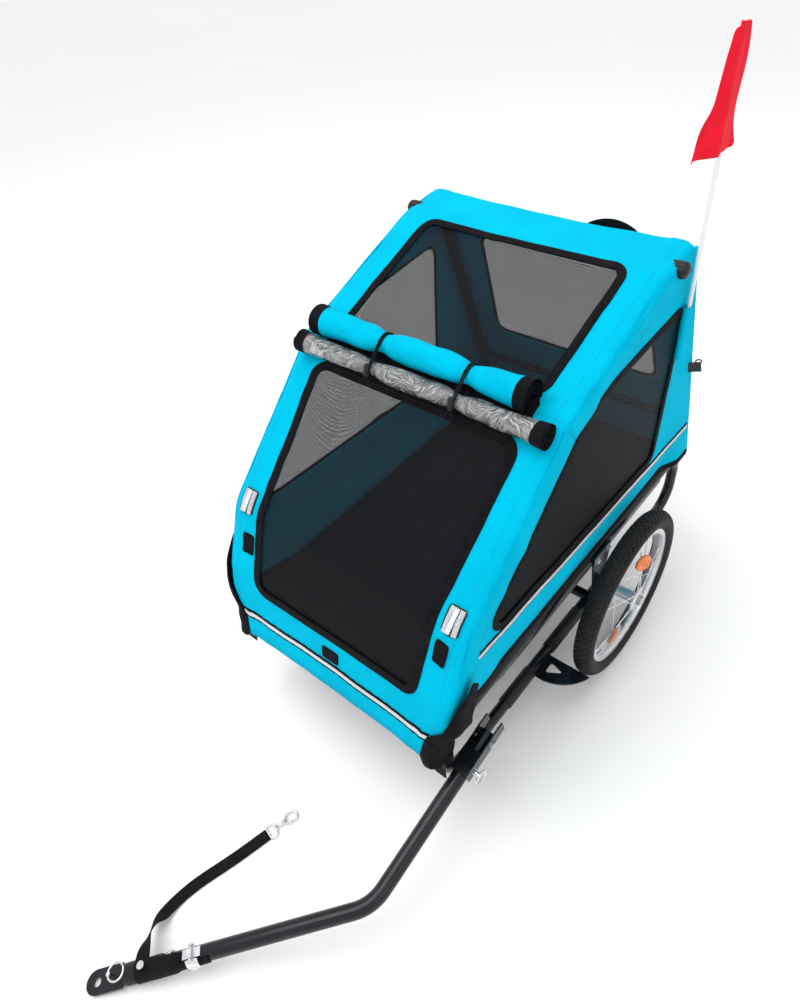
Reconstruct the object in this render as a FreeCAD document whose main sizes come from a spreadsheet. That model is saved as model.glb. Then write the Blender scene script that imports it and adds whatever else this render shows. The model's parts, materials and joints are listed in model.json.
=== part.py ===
"""Two-wheeled dog bike trailer: tube base, folding hoop frame, fabric cabin and a side drawbar.

Frame: +Z up, +X to the trailer's left, the drawbar points along -Y, millimetres.
Sub-parts are drawn with y = 0 on the axle line and moved along Y together, so that
the origin lies on the ground under the middle of the trailer's box.
"""
import FreeCAD, Part
import math
import os
from types import SimpleNamespace

import Sketcher
from FreeCAD import Placement, Rotation, Vector

doc = FreeCAD.newDocument("DogBikeTrailer")
sheet = doc.addObject("Spreadsheet::Sheet", "Sizes")

SIZES = (
    # wheels
    ("wheel_radius", 200, "16 inch wheel, over the tyre"),
    ("tyre_section_radius", 22, "half of the tyre's width"),
    ("wheel_standoff", 82, "middle of a wheel outside its side loop"),
    ("tyre_height", 42, "bead seat to the outside of the tyre"),
    ("rim_depth", 11, "bead seat to spoke bed"),
    ("rim_width", 26, "across the rim"),
    ("hub_radius", 13, "barrel"),
    ("hub_length", 62, "between the hub's ends"),
    ("flange_radius", 27, "hub flange"),
    ("flange_thickness", 3, "hub flange"),
    ("flange_inset", 4, "hub end to flange"),
    ("axle_radius", 6, "push-button axle"),
    ("axle_cap_radius", 11, "button cap at the axle's outer end"),
    ("axle_cap_length", 8, "button cap"),
    ("running_gap", 0.05, "radial clearance of shafts and hinge pins"),
    ("spoke_radius", 1, "wire"),
    ("spoke_seat", 0.1, "gap at a spoke's ends and under its reflector"),
    ("spoke_sweep_angle", 26, "turn of a spoke from flange to rim, degrees"),
    ("reflector_radius", 18, "round spoke reflector"),
    ("reflector_thickness", 5, "round spoke reflector"),
    ("reflector_inset", 49, "spoke reflector inside the spoke bed"),
    # base frame
    ("rail_x", 262, "side loop from the centre plane"),
    ("rail_od", 25, "side loop tube"),
    ("tube_wall", 1.5, "wall of all frame tubes"),
    ("rail_top_z", 287, "upper rail"),
    ("rail_low_z", 130, "lower rail"),
    ("rail_front_y", -547, "front of the side loop, tube centre"),
    ("rail_rear_y", 402, "rear of the side loop, tube centre"),
    ("rail_bend", 60, "bend radius of the side loop"),
    ("skirt_thickness", 3, "flat strip under the upper rail"),
    ("skirt_height", 28, "flat strip under the upper rail"),
    ("skirt_front", 77, "strip from the loop's front"),
    ("skirt_rear", 77, "strip from the loop's rear"),
    ("cross_front", 107, "front floor tube from the loop's front"),
    ("cross_rear", 92, "rear floor tube from the loop's rear"),
    ("floor_thickness", 6, "floor board"),
    ("floor_front", 27, "floor board from the loop's front"),
    ("floor_rear", 26, "floor board from the loop's rear"),
    ("seat_gap", 0.3, "gap between pieces that rest on each other"),
    ("bracket_thickness", 5, "axle bracket plate"),
    ("bracket_width", 70, "axle bracket plate"),
    ("boss_radius", 14, "axle boss"),
    ("boss_length", 30, "axle boss"),
    ("guard_thickness", 4, "wheel guard plate"),
    ("guard_depth", 63, "guard along the rail"),
    ("guard_gap", 5, "guard to the tyre"),
    ("guard_reach", 96, "guard from the rail outwards"),
    # drawbar
    ("bar_od", 30, "drawbar tube"),
    ("bar_wall", 1.5, "drawbar tube"),
    ("pivot_back", 77, "drawbar pivot behind the loop's front"),
    ("pivot_up", 64, "drawbar pivot above the lower rail"),
    ("bar_reach", 337, "drawbar pivot to elbow"),
    ("bar_elbow", 90, "drawbar elbow radius"),
    ("tail_yaw", 41.5, "turn of the front run towards the centre, degrees"),
    ("tail_length", 461, "front run, in plan"),
    ("tail_slope", 11.5, "fall of the front run, degrees"),
    ("bar_stub", 18, "drawbar behind its pivot"),
    ("cheek_thickness", 3, "channel side plate"),
    ("channel_gap", 0.5, "drawbar to channel"),
    ("channel_rear", 44, "channel behind the pivot, along the bar"),
    ("channel_front", 78, "channel ahead of the pivot, along the bar"),
    ("web_start", 26, "roof of the channel starts ahead of the pivot"),
    ("channel_drop", 15, "cheek below the bar's axis"),
    ("pivot_bolt_radius", 5, "drawbar pivot bolt"),
    ("bolt_head_radius", 9, "drawbar pivot bolt head"),
    ("bolt_head_height", 6, "drawbar pivot bolt head"),
    ("lock_pin_offset", 58, "lock pin ahead of the pivot"),
    ("lock_pin_radius", 4, "lock pin and hitch pin"),
    ("lock_pin_length", 50, "lock pin"),
    ("clip_wire_radius", 1.6, "round wire clip of a pin"),
    ("clip_ring_radius", 15, "round wire clip of a pin"),
    ("tab_width", 42, "hitch tab"),
    ("tab_thickness", 6, "hitch tab"),
    ("tab_hole_radius", 8, "hitch eye"),
    ("tab_reach", 56, "tube end to hitch eye"),
    ("tongue_width", 25, "tongue of the tab inside the tube"),
    ("tongue_length", 40, "tongue of the tab inside the tube"),
    ("hitch_pin_offset", 20, "tube end to hitch pin"),
    ("hitch_pin_length", 34, "hitch pin"),
    ("collar_length", 76, "plastic collar on the tube's front end"),
    ("collar_wall", 3, "plastic collar"),
    ("strap_bolt_offset", 43, "tube end to strap bolt"),
    ("strap_bolt_head_radius", 7, "strap bolt head"),
    ("strap_lift", 3.6, "strap's end above the collar, over its own second layer"),
    ("strap_head_gap", 2.2, "strap to the bolt's head"),
    ("ring_plate_offset", 136, "tube end to ring plate"),
    ("ring_plate_length", 34, "ring plate"),
    ("ring_plate_width", 16, "ring plate"),
    ("ring_plate_thickness", 2.5, "ring plate"),
    ("ring_radius", 11, "tether ring"),
    ("ring_wire_radius", 1.8, "tether ring"),
    # cabin outline on the centre plane, outer face of the fabric, from the side loop's front, rear and top
    ("hem_front", -36, "bottom hem of the front panel, from the loop's front"),
    ("hem_up", -49, "bottom hem of the front panel, above the upper rail"),
    ("knee_front", -1, "lower bend of the front panel"),
    ("knee_up", 108, "lower bend of the front panel"),
    ("brow_front", 57, "upper bend of the front panel"),
    ("brow_up", 245, "upper bend of the front panel"),
    ("seam_front", 324, "cross seam between front and roof"),
    ("seam_up", 496, "cross seam between front and roof"),
    ("crown_rear", 310, "bend at the back of the roof, from the loop's rear"),
    ("crown_up", 610, "bend at the back of the roof"),
    ("tail_rear", 208, "rear edge of the roof, from the loop's rear"),
    ("tail_up", 621, "rear edge of the roof"),
    ("rear_head_gap", 6, "top of the rear panel behind the roof's edge"),
    ("rear_head_drop", 2, "top of the rear panel below the roof's edge"),
    ("rear_foot_rear", 2, "bottom of the rear panel, from the loop's rear"),
    ("rear_foot_up", 13, "bottom of the rear panel"),
    ("fabric", 2.5, "coated fabric with its lining"),
    ("panel_bend", 80, "rounding of the fabric at the bends"),
    ("panel_inset", 0.2, "front and roof panel inside the hoop tubes' outer sides"),
    ("side_gap", 2.4, "side panel outside the rear post"),
    ("side_hem_up", 18, "bottom edge of side and rear panels above the upper rail"),
    ("mesh", 1, "window mesh"),
    ("mesh_lap", 12, "mesh sewn behind the window edge"),
    ("sewn_gap", 0.3, "mesh behind the fabric"),
    ("door_drop", 50, "door hinge line below the cross seam"),
    ("door_bottom_front", 5, "bottom edge of the door ahead of the lower bend"),
    ("door_bottom_half", 203, "half width of the door at the bottom"),
    ("door_top_half", 224, "half width of the door at the top"),
    ("door_gap", 1, "zip gap round the door"),
    ("binding_width", 14, "binding round the door"),
    ("roof_window_front", 33, "roof window behind the cross seam"),
    ("roof_window_rear", 6, "roof window ahead of the roof's bend"),
    ("roof_window_half", 218, "half width of the roof window"),
    ("rear_window_up", 170, "rear window above the rear panel's foot"),
    ("rear_window_drop", 96, "rear window below the rear panel's head"),
    ("rear_window_half", 195, "half width of the rear window"),
    ("window_corner", 30, "corner radius of the windows"),
    ("side_window_toe_back", 48, "front corner of the side window behind the upper bend"),
    ("side_window_toe_drop", 14, "front corner of the side window below the upper bend"),
    ("side_window_heel_in", 242, "lower rear corner ahead of the rear panel's foot"),
    ("side_window_heel_up", 150, "lower rear corner above the rear panel's foot"),
    ("side_window_head_in", 12, "upper rear corner ahead of the rear panel's head"),
    ("side_window_head_drop", 116, "upper rear corner below the rear panel's head"),
    ("side_window_brow_back", 88, "upper front corner behind the cross seam"),
    ("side_window_brow_drop", 11, "upper front corner below the cross seam"),
    # hoop and rear frame
    ("hoop_inset", 12, "hoop tube inside the side loop"),
    ("hoop_od", 22, "hoop and post tube"),
    ("tube_to_fabric", 0.5, "tube behind the fabric"),
    ("hoop_pivot_up", 43, "hoop hinge above the upper rail"),
    ("hoop_bend", 150, "bend radius of the hoop"),
    ("bar_to_bar", 8, "radius of the hoop's cross bars"),
    ("post_gap", 0.5, "rear post to hoop tube"),
    ("post_pivot_up", 31, "rear post hinge above the upper rail"),
    ("post_head_drop", 74.575, "rear post's end below the top of the rear line"),
    ("post_foot", 13, "tube below a hinge pin"),
    ("brace_up", 120, "rear brace up the posts"),
    ("hinge_plate", 4, "hinge bracket plate"),
    ("hinge_knuckle", 12, "hinge bracket round the pin"),
    ("hinge_pin_radius", 4, "frame hinge pin"),
    ("knob_ahead", 61, "corner knob ahead of the roof's rear edge"),
    ("knob_radius", 15, "corner knob"),
    ("knob_length", 15, "corner knob"),
    ("shank_radius", 5, "corner knob's shank"),
    # trim on the cabin
    ("storm_roll_radius", 21, "rolled fabric cover"),
    ("storm_roll_length", 470, "rolled fabric cover"),
    ("storm_roll_x", -28, "middle of the rolled fabric cover"),
    ("clear_roll_radius", 17, "rolled clear cover"),
    ("clear_roll_length", 540, "rolled clear cover"),
    ("clear_roll_x", -8, "middle of the rolled clear cover"),
    ("roll_lift", 3, "rolls above the fabric"),
    ("roll_shift", 22, "rolls from the cross seam"),
    ("tie_x", 92, "roll ties from the centre plane"),
    ("tie_thickness", 2, "roll tie"),
    ("tie_width", 6, "roll tie"),
    ("toggle_radius", 6, "cord toggle"),
    ("toggle_length", 16, "cord toggle"),
    ("front_reflector_width", 26, "front reflector"),
    ("front_reflector_height", 40, "front reflector"),
    ("front_reflector_depth", 7, "front reflector"),
    ("front_reflector_inset", 1.8, "front reflector inside the panel's edge"),
    ("front_reflector_up", 40, "front reflector above the upper bend"),
    # flag
    ("flag_gap", 1.5, "flag sleeve to side panel"),
    ("flag_ahead", 10, "flag pole ahead of the roof's rear edge"),
    ("pole_radius", 4, "flag pole"),
        ("pole_free", 348, "pole above its sleeve"),
    ("sleeve_length", 202, "flag sleeve"),
    ("sleeve_slot_slack", 1, "side panel's slot round the sleeve's arm"),
    ("sleeve_drop", 16, "flag sleeve below the roof's rear edge"),
    ("sleeve_wall", 3, "flag sleeve"),
    ("pennant_height", 172, "pennant along the pole"),
    ("pennant_reach", 132, "pennant forward of the pole"),
    ("pennant_thickness", 2, "pennant"),
    # safety strap
    ("strap_width", 25, "webbing"),
    ("strap_thickness", 2, "webbing"),
    ("hook_ring_radius", 12, "eye of the snap hook"),
    ("hook_wire_radius", 2.2, "eye of the snap hook"),
    ("hook_barrel_radius", 4.5, "swivel barrel"),
    ("hook_barrel_length", 16, "swivel barrel"),
    ("hook_bow_radius", 13, "bow of the snap hook"),
)
SPOKE_COUNT = 20
WHEEL_REFLECTORS = 2
STRAP_POINTS = (
    (-14, -1098, 47), (-34, -1074, 26), (-46, -1040, 7), (-46, -1004, 2.4), (-39, -968, 2.4),
    (-28, -932, 2.4), (-17, -896, 2.4), (-7, -858, 2.4), (2, -820, 2.4),
)


class Size:
    """A number together with the sheet formula that gives it."""

    def __init__(self, value, formula):
        self.value = float(value)
        self.formula = formula

    @staticmethod
    def of(other):
        return other if isinstance(other, Size) else Size(other, f"{float(other):.6f}")

    def join(self, other, sign, value):
        return Size(value, f"({self.formula} {sign} {other.formula})")

    def __add__(self, other):
        other = Size.of(other)
        return self.join(other, "+", self.value + other.value)

    def __radd__(self, other):
        return Size.of(other) + self

    def __sub__(self, other):
        other = Size.of(other)
        return self.join(other, "-", self.value - other.value)

    def __rsub__(self, other):
        return Size.of(other) - self

    def __mul__(self, other):
        other = Size.of(other)
        return self.join(other, "*", self.value * other.value)

    def __rmul__(self, other):
        return Size.of(other) * self

    def __truediv__(self, other):
        other = Size.of(other)
        return self.join(other, "/", self.value / other.value)

    def __neg__(self):
        return Size.of(0) - self


def fill_sheet():
    for row, (name, value, note) in enumerate(SIZES, start=1):
        sheet.set(f"A{row}", name)
        sheet.set(f"B{row}", str(value))
        sheet.setAlias(f"B{row}", name)
        sheet.set(f"C{row}", note)
    doc.recompute()
    return SimpleNamespace(**{name: Size(sheet.get(name), f"Sizes.{name}") for name, _, _ in SIZES})


d = fill_sheet()
v = SimpleNamespace(**{name: getattr(d, name).value for name, _, _ in SIZES})
NODES = []


def derive(**sizes):
    """Adds sizes that follow from the sheet's own."""
    for name, size in sizes.items():
        setattr(d, name, size)
        setattr(v, name, size.value)


derive(
    rim_radius=d.wheel_radius - d.tyre_height,
    wheel_x=d.rail_x + d.wheel_standoff,
    skirt_front_y=d.rail_front_y + d.skirt_front,
    skirt_rear_y=d.rail_rear_y - d.skirt_rear,
    cross_front_y=d.rail_front_y + d.cross_front,
    cross_rear_y=d.rail_rear_y - d.cross_rear,
    floor_front_y=d.rail_front_y + d.floor_front,
    floor_rear_y=d.rail_rear_y - d.floor_rear,
    bar_x=d.rail_x + d.rail_od / 2 + d.cheek_thickness + d.channel_gap + d.bar_od / 2,
    pivot_y=d.rail_front_y + d.pivot_back,
    pivot_z=d.rail_low_z + d.pivot_up,
    hoop_x=d.rail_x - d.hoop_inset,
    hoop_pivot_z=d.rail_top_z + d.hoop_pivot_up,
    post_pivot_z=d.rail_top_z + d.post_pivot_up,
    side_hem_z=d.rail_top_z + d.side_hem_up,
)
derive(
    reflector_orbit=d.rim_radius - d.rim_depth - d.reflector_inset,
    bend_y=d.pivot_y - d.bar_reach,
    post_x=d.hoop_x + d.hoop_od + d.post_gap,
    panel_half_width=d.hoop_x + d.hoop_od / 2 - d.panel_inset,
    hem_y=d.rail_front_y + d.hem_front,
    hem_z=d.rail_top_z + d.hem_up,
    knee_y=d.rail_front_y + d.knee_front,
    knee_z=d.rail_top_z + d.knee_up,
    brow_y=d.rail_front_y + d.brow_front,
    brow_z=d.rail_top_z + d.brow_up,
    seam_y=d.rail_front_y + d.seam_front,
    seam_z=d.rail_top_z + d.seam_up,
    crown_y=d.rail_rear_y - d.crown_rear,
    crown_z=d.rail_top_z + d.crown_up,
    tail_y=d.rail_rear_y - d.tail_rear,
    tail_z=d.rail_top_z + d.tail_up,
    rear_foot_y=d.rail_rear_y - d.rear_foot_rear,
    rear_foot_z=d.rail_top_z + d.rear_foot_up,
)
derive(
    side_x=d.post_x + d.hoop_od / 2 + d.side_gap,
    rear_head_y=d.tail_y + d.rear_head_gap,
    rear_head_z=d.tail_z - d.rear_head_drop,
    door_bottom_y=d.knee_y - d.door_bottom_front,
    roof_window_front_y=d.seam_y + d.roof_window_front,
    roof_window_rear_y=d.crown_y - d.roof_window_rear,
    knob_y=d.tail_y - d.knob_ahead,
    flag_y=d.tail_y - d.flag_ahead,
    sleeve_top_z=d.tail_z - d.sleeve_drop,
    front_reflector_x=d.panel_half_width - d.front_reflector_inset - d.front_reflector_width / 2,
)
derive(
    rear_window_low_z=d.rear_foot_z + d.rear_window_up,
    rear_window_high_z=d.rear_head_z - d.rear_window_drop,
    flag_x=d.side_x + d.fabric + d.flag_gap + d.pole_radius + d.running_gap + d.sleeve_wall,
    pole_top_z=d.sleeve_top_z + d.pole_free,
    sleeve_bottom_z=d.sleeve_top_z - d.sleeve_length,
)
tyre_front = math.sqrt(v.wheel_radius ** 2 - (v.wheel_radius - v.rail_low_z) ** 2)
GUARD_REAR = -tyre_front - v.guard_gap
GUARD_FRONT = GUARD_REAR - v.guard_depth


# Construction points that several sub-parts share

def polar(angle):
    return math.cos(math.radians(angle)), math.sin(math.radians(angle))


def between(a, b, distance):
    """The point at a distance from a towards b, in the YZ plane."""
    length = math.dist(a, b)
    return tuple(p + (q - p) * distance / length for p, q in zip(a, b))


def shifted(points, distance):
    """A YZ polyline moved to its right-hand side, with its corners mitred."""
    normals = []
    for a, b in zip(points, points[1:]):
        length = math.dist(a, b)
        normals.append(((b[1] - a[1]) / length, -(b[0] - a[0]) / length))
    out = []
    for i, (y, z) in enumerate(points):
        before = normals[max(i - 1, 0)]
        after = normals[min(i, len(normals) - 1)]
        scale = distance / (1 + before[0] * after[0] + before[1] * after[1])
        out.append((y + (before[0] + after[0]) * scale, z + (before[1] + after[1]) * scale))
    return out


HEM = (v.hem_y, v.hem_z)
KNEE = (v.knee_y, v.knee_z)
BROW = (v.brow_y, v.brow_z)
SEAM = (v.seam_y, v.seam_z)
CROWN = (v.crown_y, v.crown_z)
TAIL = (v.tail_y, v.tail_z)
REAR_FOOT = (v.rear_foot_y, v.rear_foot_z)
REAR_HEAD = (v.rear_head_y, v.rear_head_z)
PROFILE = [HEM, KNEE, BROW, SEAM, CROWN, TAIL]

tube_depth = v.fabric + v.tube_to_fabric + v.hoop_od / 2
HOOP_LINE = shifted(PROFILE, tube_depth)
lean = (HOOP_LINE[1][0] - HOOP_LINE[0][0]) / (HOOP_LINE[1][1] - HOOP_LINE[0][1])
HOOP_PIVOT = (HOOP_LINE[0][0] + (v.hoop_pivot_z - HOOP_LINE[0][1]) * lean, v.hoop_pivot_z)
POST_LINE = shifted([REAR_HEAD, REAR_FOOT], tube_depth)
recline = (POST_LINE[1][0] - POST_LINE[0][0]) / (POST_LINE[1][1] - POST_LINE[0][1])
POST_PIVOT = (POST_LINE[1][0] + (v.post_pivot_z - POST_LINE[1][1]) * recline, v.post_pivot_z)
POST_TOP = between(POST_LINE[0], POST_PIVOT, v.post_head_drop)
DOOR_HINGE = between(SEAM, BROW, v.door_drop)

# The drawbar's front run falls to the ground: the tip of the hitch tab touches it
fall_cos, fall_sin = polar(v.tail_slope)
yaw_cos, yaw_sin = polar(v.tail_yaw)
BAR_AXIS = Vector(-yaw_sin * fall_cos, -yaw_cos * fall_cos, -fall_sin)
BAR_UP = Vector(-yaw_sin * fall_sin, -yaw_cos * fall_sin, fall_cos)
BAR_SIDE = BAR_AXIS.cross(BAR_UP)
bar_end_z = (v.tab_reach + v.tab_width / 2) * fall_sin + v.tab_thickness / 2 * fall_cos
bar_bend_z = bar_end_z + v.tail_length * math.tan(math.radians(v.tail_slope))
BAR_BEND = Vector(v.bar_x, v.bend_y, bar_bend_z)
BAR_END = BAR_BEND + BAR_AXIS * (v.tail_length / fall_cos)
BAR_PIVOT = Vector(v.bar_x, v.pivot_y, v.pivot_z)
bar_pitch = math.degrees(math.atan2(v.pivot_z - bar_bend_z, v.pivot_y - v.bend_y))
HITCH_EYE = BAR_END + BAR_AXIS * v.tab_reach
tab_front = v.tab_width / 2 * math.sqrt(1 - BAR_UP.y ** 2) + v.tab_thickness / 2 * abs(BAR_UP.y)
box_front_y = HITCH_EYE.y - tab_front
box_rear_y = v.rail_rear_y + v.rail_od / 2
ORIGIN_SHIFT = -(box_front_y + box_rear_y) / 2


def along_bar(distance, up=0.0, side=0.0):
    """A point measured from the tube's front end back along the drawbar's front run."""
    return BAR_END - BAR_AXIS * distance + BAR_UP * up + BAR_SIDE * side


def bar_frame(origin):
    """Placement with X along the front run, Y to its side and Z up from it."""
    rotation = Rotation(BAR_AXIS, BAR_UP.cross(BAR_AXIS), BAR_UP, "ZXY")
    return Placement(origin, rotation)


# Ways of making a sub-part

ROTATIONS = {
    "z": Rotation(),
    "x": Rotation(Vector(0, 1, 0), 90),
    "y": Rotation(Vector(1, 0, 0), -90),
}


def bind(obj, **sizes):
    for prop, size in sizes.items():
        obj.setExpression(prop, Size.of(size).formula)
    return obj


def stand(obj, x, y, z, rotation=Rotation()):
    """Places a primitive, each coordinate tied to the sheet."""
    obj.Placement = Placement(Vector(Size.of(x).value, Size.of(y).value, Size.of(z).value), rotation)
    for name, size in zip("xyz", (x, y, z)):
        obj.setExpression(f"Placement.Base.{name}", Size.of(size).formula)
    return obj


def cylinder(name, radius, length, x, y, z, axis="z"):
    obj = doc.addObject("Part::Cylinder", name)
    return stand(bind(obj, Radius=radius, Height=length), x, y, z, ROTATIONS[axis])


def block(name, lx, ly, lz, x, y, z):
    obj = doc.addObject("Part::Box", name)
    return stand(bind(obj, Length=lx, Width=ly, Height=lz), x, y, z)


def fused(name, *pieces):
    obj = doc.addObject("Part::MultiFuse", name)
    obj.Shapes = list(pieces)
    return obj


def cut(name, base, *tools):
    obj = doc.addObject("Part::Cut", name)
    obj.Base = base
    obj.Tool = tools[0] if len(tools) == 1 else fused(name + "_tools", *tools)
    return obj


def grouped(name, *pieces):
    obj = doc.addObject("Part::Compound", name)
    obj.Links = list(pieces)
    return obj


def formed(name, shape):
    obj = doc.addObject("Part::Feature", name)
    obj.Shape = shape
    return obj


def node(label, obj):
    """Names a finished sub-part and moves it to the part's own frame."""
    if obj.TypeId in ("Part::Cylinder", "Part::Box"):
        obj = grouped(label, obj)
    obj.Label = label
    obj.Placement = Placement(Vector(0, ORIGIN_SHIFT, 0), Rotation()).multiply(obj.Placement)
    NODES.append(obj)
    return obj


def origin_plane(body, role):
    return next(feature for feature in body.Origin.OriginFeatures if feature.Role == role)


def outline_sketch(body, name, plane, offset, points, circles=()):
    """A closed outline with every corner, and every round hole, tied to the sheet."""
    sketch = body.newObject("Sketcher::SketchObject", name)
    sketch.AttachmentSupport = (origin_plane(body, plane), [""])
    sketch.MapMode = "FlatFace"
    sketch.AttachmentOffset = Placement(Vector(0, 0, Size.of(offset).value), Rotation())
    sketch.setExpression("AttachmentOffset.Base.z", Size.of(offset).formula)
    corners = [(Size.of(a), Size.of(b)) for a, b in points]
    flat = [Vector(a.value, b.value, 0) for a, b in corners]
    count = len(flat)
    for i in range(count):
        sketch.addGeometry(Part.LineSegment(flat[i], flat[(i + 1) % count]), False)
    for i in range(count):
        sketch.addConstraint(Sketcher.Constraint("Coincident", i, 2, (i + 1) % count, 1))
    for i, corner in enumerate(corners):
        for kind, size in zip(("DistanceX", "DistanceY"), corner):
            index = sketch.addConstraint(Sketcher.Constraint(kind, -1, 1, i, 1, size.value))
            sketch.setExpression(f"Constraints[{index}]", size.formula)
    for a, b, radius in circles:
        centre = (Size.of(a), Size.of(b))
        middle = Vector(centre[0].value, centre[1].value, 0)
        shape = sketch.addGeometry(Part.Circle(middle, Vector(0, 0, 1), Size.of(radius).value), False)
        for kind, size in zip(("DistanceX", "DistanceY"), centre):
            index = sketch.addConstraint(Sketcher.Constraint(kind, -1, 1, shape, 3, size.value))
            sketch.setExpression(f"Constraints[{index}]", size.formula)
        index = sketch.addConstraint(Sketcher.Constraint("Radius", shape, Size.of(radius).value))
        sketch.setExpression(f"Constraints[{index}]", Size.of(radius).formula)
    return sketch


def plate(label, plane, offset, thickness, points, circles=()):
    """A flat plate padded from an outline on one of the origin planes."""
    body = doc.addObject("PartDesign::Body", label + "_body")
    sketch = outline_sketch(body, label + "_outline", plane, offset, points, circles)
    pad = body.newObject("PartDesign::Pad", label + "_pad")
    pad.Profile = sketch
    bind(pad, Length=thickness)
    sketch.Visibility = False
    return body


def rounded_edges(points, radii):
    """Straight runs through the points, joined by tangent arcs."""
    edges = []
    start = Vector(points[0])
    for before, corner, after, radius in zip(points, points[1:], points[2:], radii):
        corner = Vector(corner)
        back = (Vector(before) - corner).normalize()
        ahead = (Vector(after) - corner).normalize()
        half = back.getAngle(ahead) / 2
        if radius <= 0:
            edges.append(Part.LineSegment(start, corner).toShape())
            start = corner
            continue
        reach = radius / math.tan(half)
        middle = corner + (back + ahead).normalize() * (radius / math.sin(half) - radius)
        edges.append(Part.LineSegment(start, corner + back * reach).toShape())
        edges.append(Part.Arc(corner + back * reach, middle, corner + ahead * reach).toShape())
        start = corner + ahead * reach
    edges.append(Part.LineSegment(start, Vector(points[-1])).toShape())
    return edges


def swept(points, radii, radius):
    """A round bar along straight runs and arcs."""
    path = Part.Wire(rounded_edges(points, radii))
    start = Vector(points[0])
    along = (Vector(points[1]) - start).normalize()
    ring = Part.Wire([Part.Circle(start, along, radius).toShape()])
    return path.makePipeShell([ring], True, False)


def bent_tube(points, radii, outer, wall):
    return swept(points, radii, outer / 2).cut(swept(points, radii, outer / 2 - wall))


def in_side_plane(points, x):
    return [Vector(x, y, z) for y, z in points]


def sheet_solid(points, radii, depth, thickness, x0, x1):
    """Fabric that follows a YZ polyline, from a depth under its outer face, between two X planes."""
    outer = rounded_edges(in_side_plane(shifted(points, depth), x0), [r - depth for r in radii])
    under = [r - depth - thickness for r in radii]
    inner = rounded_edges(in_side_plane(shifted(points, depth + thickness), x0), under)
    first = Part.LineSegment(inner[0].Vertexes[0].Point, outer[0].Vertexes[0].Point).toShape()
    last = Part.LineSegment(outer[-1].Vertexes[-1].Point, inner[-1].Vertexes[-1].Point).toShape()
    wire = Part.Wire(Part.__sortEdges__([first, *outer, last, *inner]))
    return Part.Face(wire).extrude(Vector(x1 - x0, 0, 0))


def rounded_face(points, radii):
    """A flat face through the points, each corner with its own radius."""
    ring = [(Vector(points[-1]) + Vector(points[0])) / 2, *points]
    ring.append(ring[0])
    return Part.Face(Part.Wire(rounded_edges(ring, radii)))


def upright_prism(half_front, half_rear, front_y, rear_y, corner):
    """A tall prism with a trapezium plan, for windows in the front and roof."""
    low_z, height = v.rail_low_z, v.pole_top_z
    plan = [(-half_front, front_y), (half_front, front_y), (half_rear, rear_y), (-half_rear, rear_y)]
    face = rounded_face([Vector(x, y, low_z) for x, y in plan], [corner] * 4)
    return face.extrude(Vector(0, 0, height))


def mirrored(shape):
    return shape.mirror(Vector(0, 0, 0), Vector(1, 0, 0))


# Wheels

def make_wheel(side, sign):
    x = d.wheel_x * sign
    half_rim = d.rim_width / 2
    half_hub = d.hub_length / 2
    ring = doc.addObject("Part::Torus", f"tyre_ring_{side}")
    bind(ring, Radius1=d.wheel_radius - d.tyre_section_radius, Radius2=d.tyre_section_radius)
    stand(ring, x, 0, d.wheel_radius, ROTATIONS["x"])
    width = d.tyre_section_radius * 2
    well = cylinder(f"tyre_well_{side}", d.rim_radius, width, x - width / 2, 0, d.wheel_radius, "x")
    node(f"tyre_{side}", cut(f"tyre_{side}", ring, well))

    seat = cylinder(f"rim_seat_{side}", d.rim_radius, d.rim_width, x - half_rim, 0, d.wheel_radius, "x")
    bed_radius = d.rim_radius - d.rim_depth
    bed = cylinder(f"rim_bed_{side}", bed_radius, d.rim_width, x - half_rim, 0, d.wheel_radius, "x")
    node(f"rim_{side}", cut(f"rim_{side}", seat, bed))

    barrel = cylinder(f"hub_barrel_{side}", d.hub_radius, d.hub_length, x - half_hub, 0, d.wheel_radius, "x")
    flanges = []
    inner_flange = d.flange_inset - half_hub
    outer_flange = half_hub - d.flange_inset - d.flange_thickness
    for end, offset in (("in", inner_flange), ("out", outer_flange)):
        start = x + offset
        name = f"flange_{end}_{side}"
        flanges.append(cylinder(name, d.flange_radius, d.flange_thickness, start, 0, d.wheel_radius, "x"))
    bore_radius = d.axle_radius + d.running_gap
    bore = cylinder(f"hub_bore_{side}", bore_radius, d.hub_length, x - half_hub, 0, d.wheel_radius, "x")
    node(f"hub_{side}", cut(f"hub_{side}", fused(f"hub_shell_{side}", barrel, *flanges), bore))
    node(f"spokes_{side}", formed(f"spokes_{side}", Part.makeCompound(spokes(sign))))
    node(f"wheel_reflectors_{side}", formed(f"wheel_reflectors_{side}", wheel_reflectors(sign)))


def spoke_offset(radius):
    """Distance of a spoke from the wheel's middle plane at a radius from the axle."""
    flange_x = v.hub_length / 2 - v.flange_inset - v.flange_thickness / 2
    inner, outer = v.flange_radius, v.rim_radius - v.rim_depth
    rim_x = v.rim_width / 6
    return flange_x + (rim_x - flange_x) * (radius - inner) / (outer - inner)


def spoke_ends(i):
    """Both ends of a spoke, from the wheel's middle: odd spokes lace to the +X flange."""
    inner = v.flange_radius + v.spoke_seat
    outer = v.rim_radius - v.rim_depth - v.spoke_seat
    face = 1 if i % 2 else -1
    turn = v.spoke_sweep_angle if (i // 2) % 2 else -v.spoke_sweep_angle
    angle = 360 * i / SPOKE_COUNT
    cos_a, sin_a = polar(angle)
    cos_b, sin_b = polar(angle + turn)
    start = Vector(face * spoke_offset(inner), inner * cos_a, inner * sin_a)
    end = Vector(face * spoke_offset(outer), outer * cos_b, outer * sin_b)
    return start, end


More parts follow.
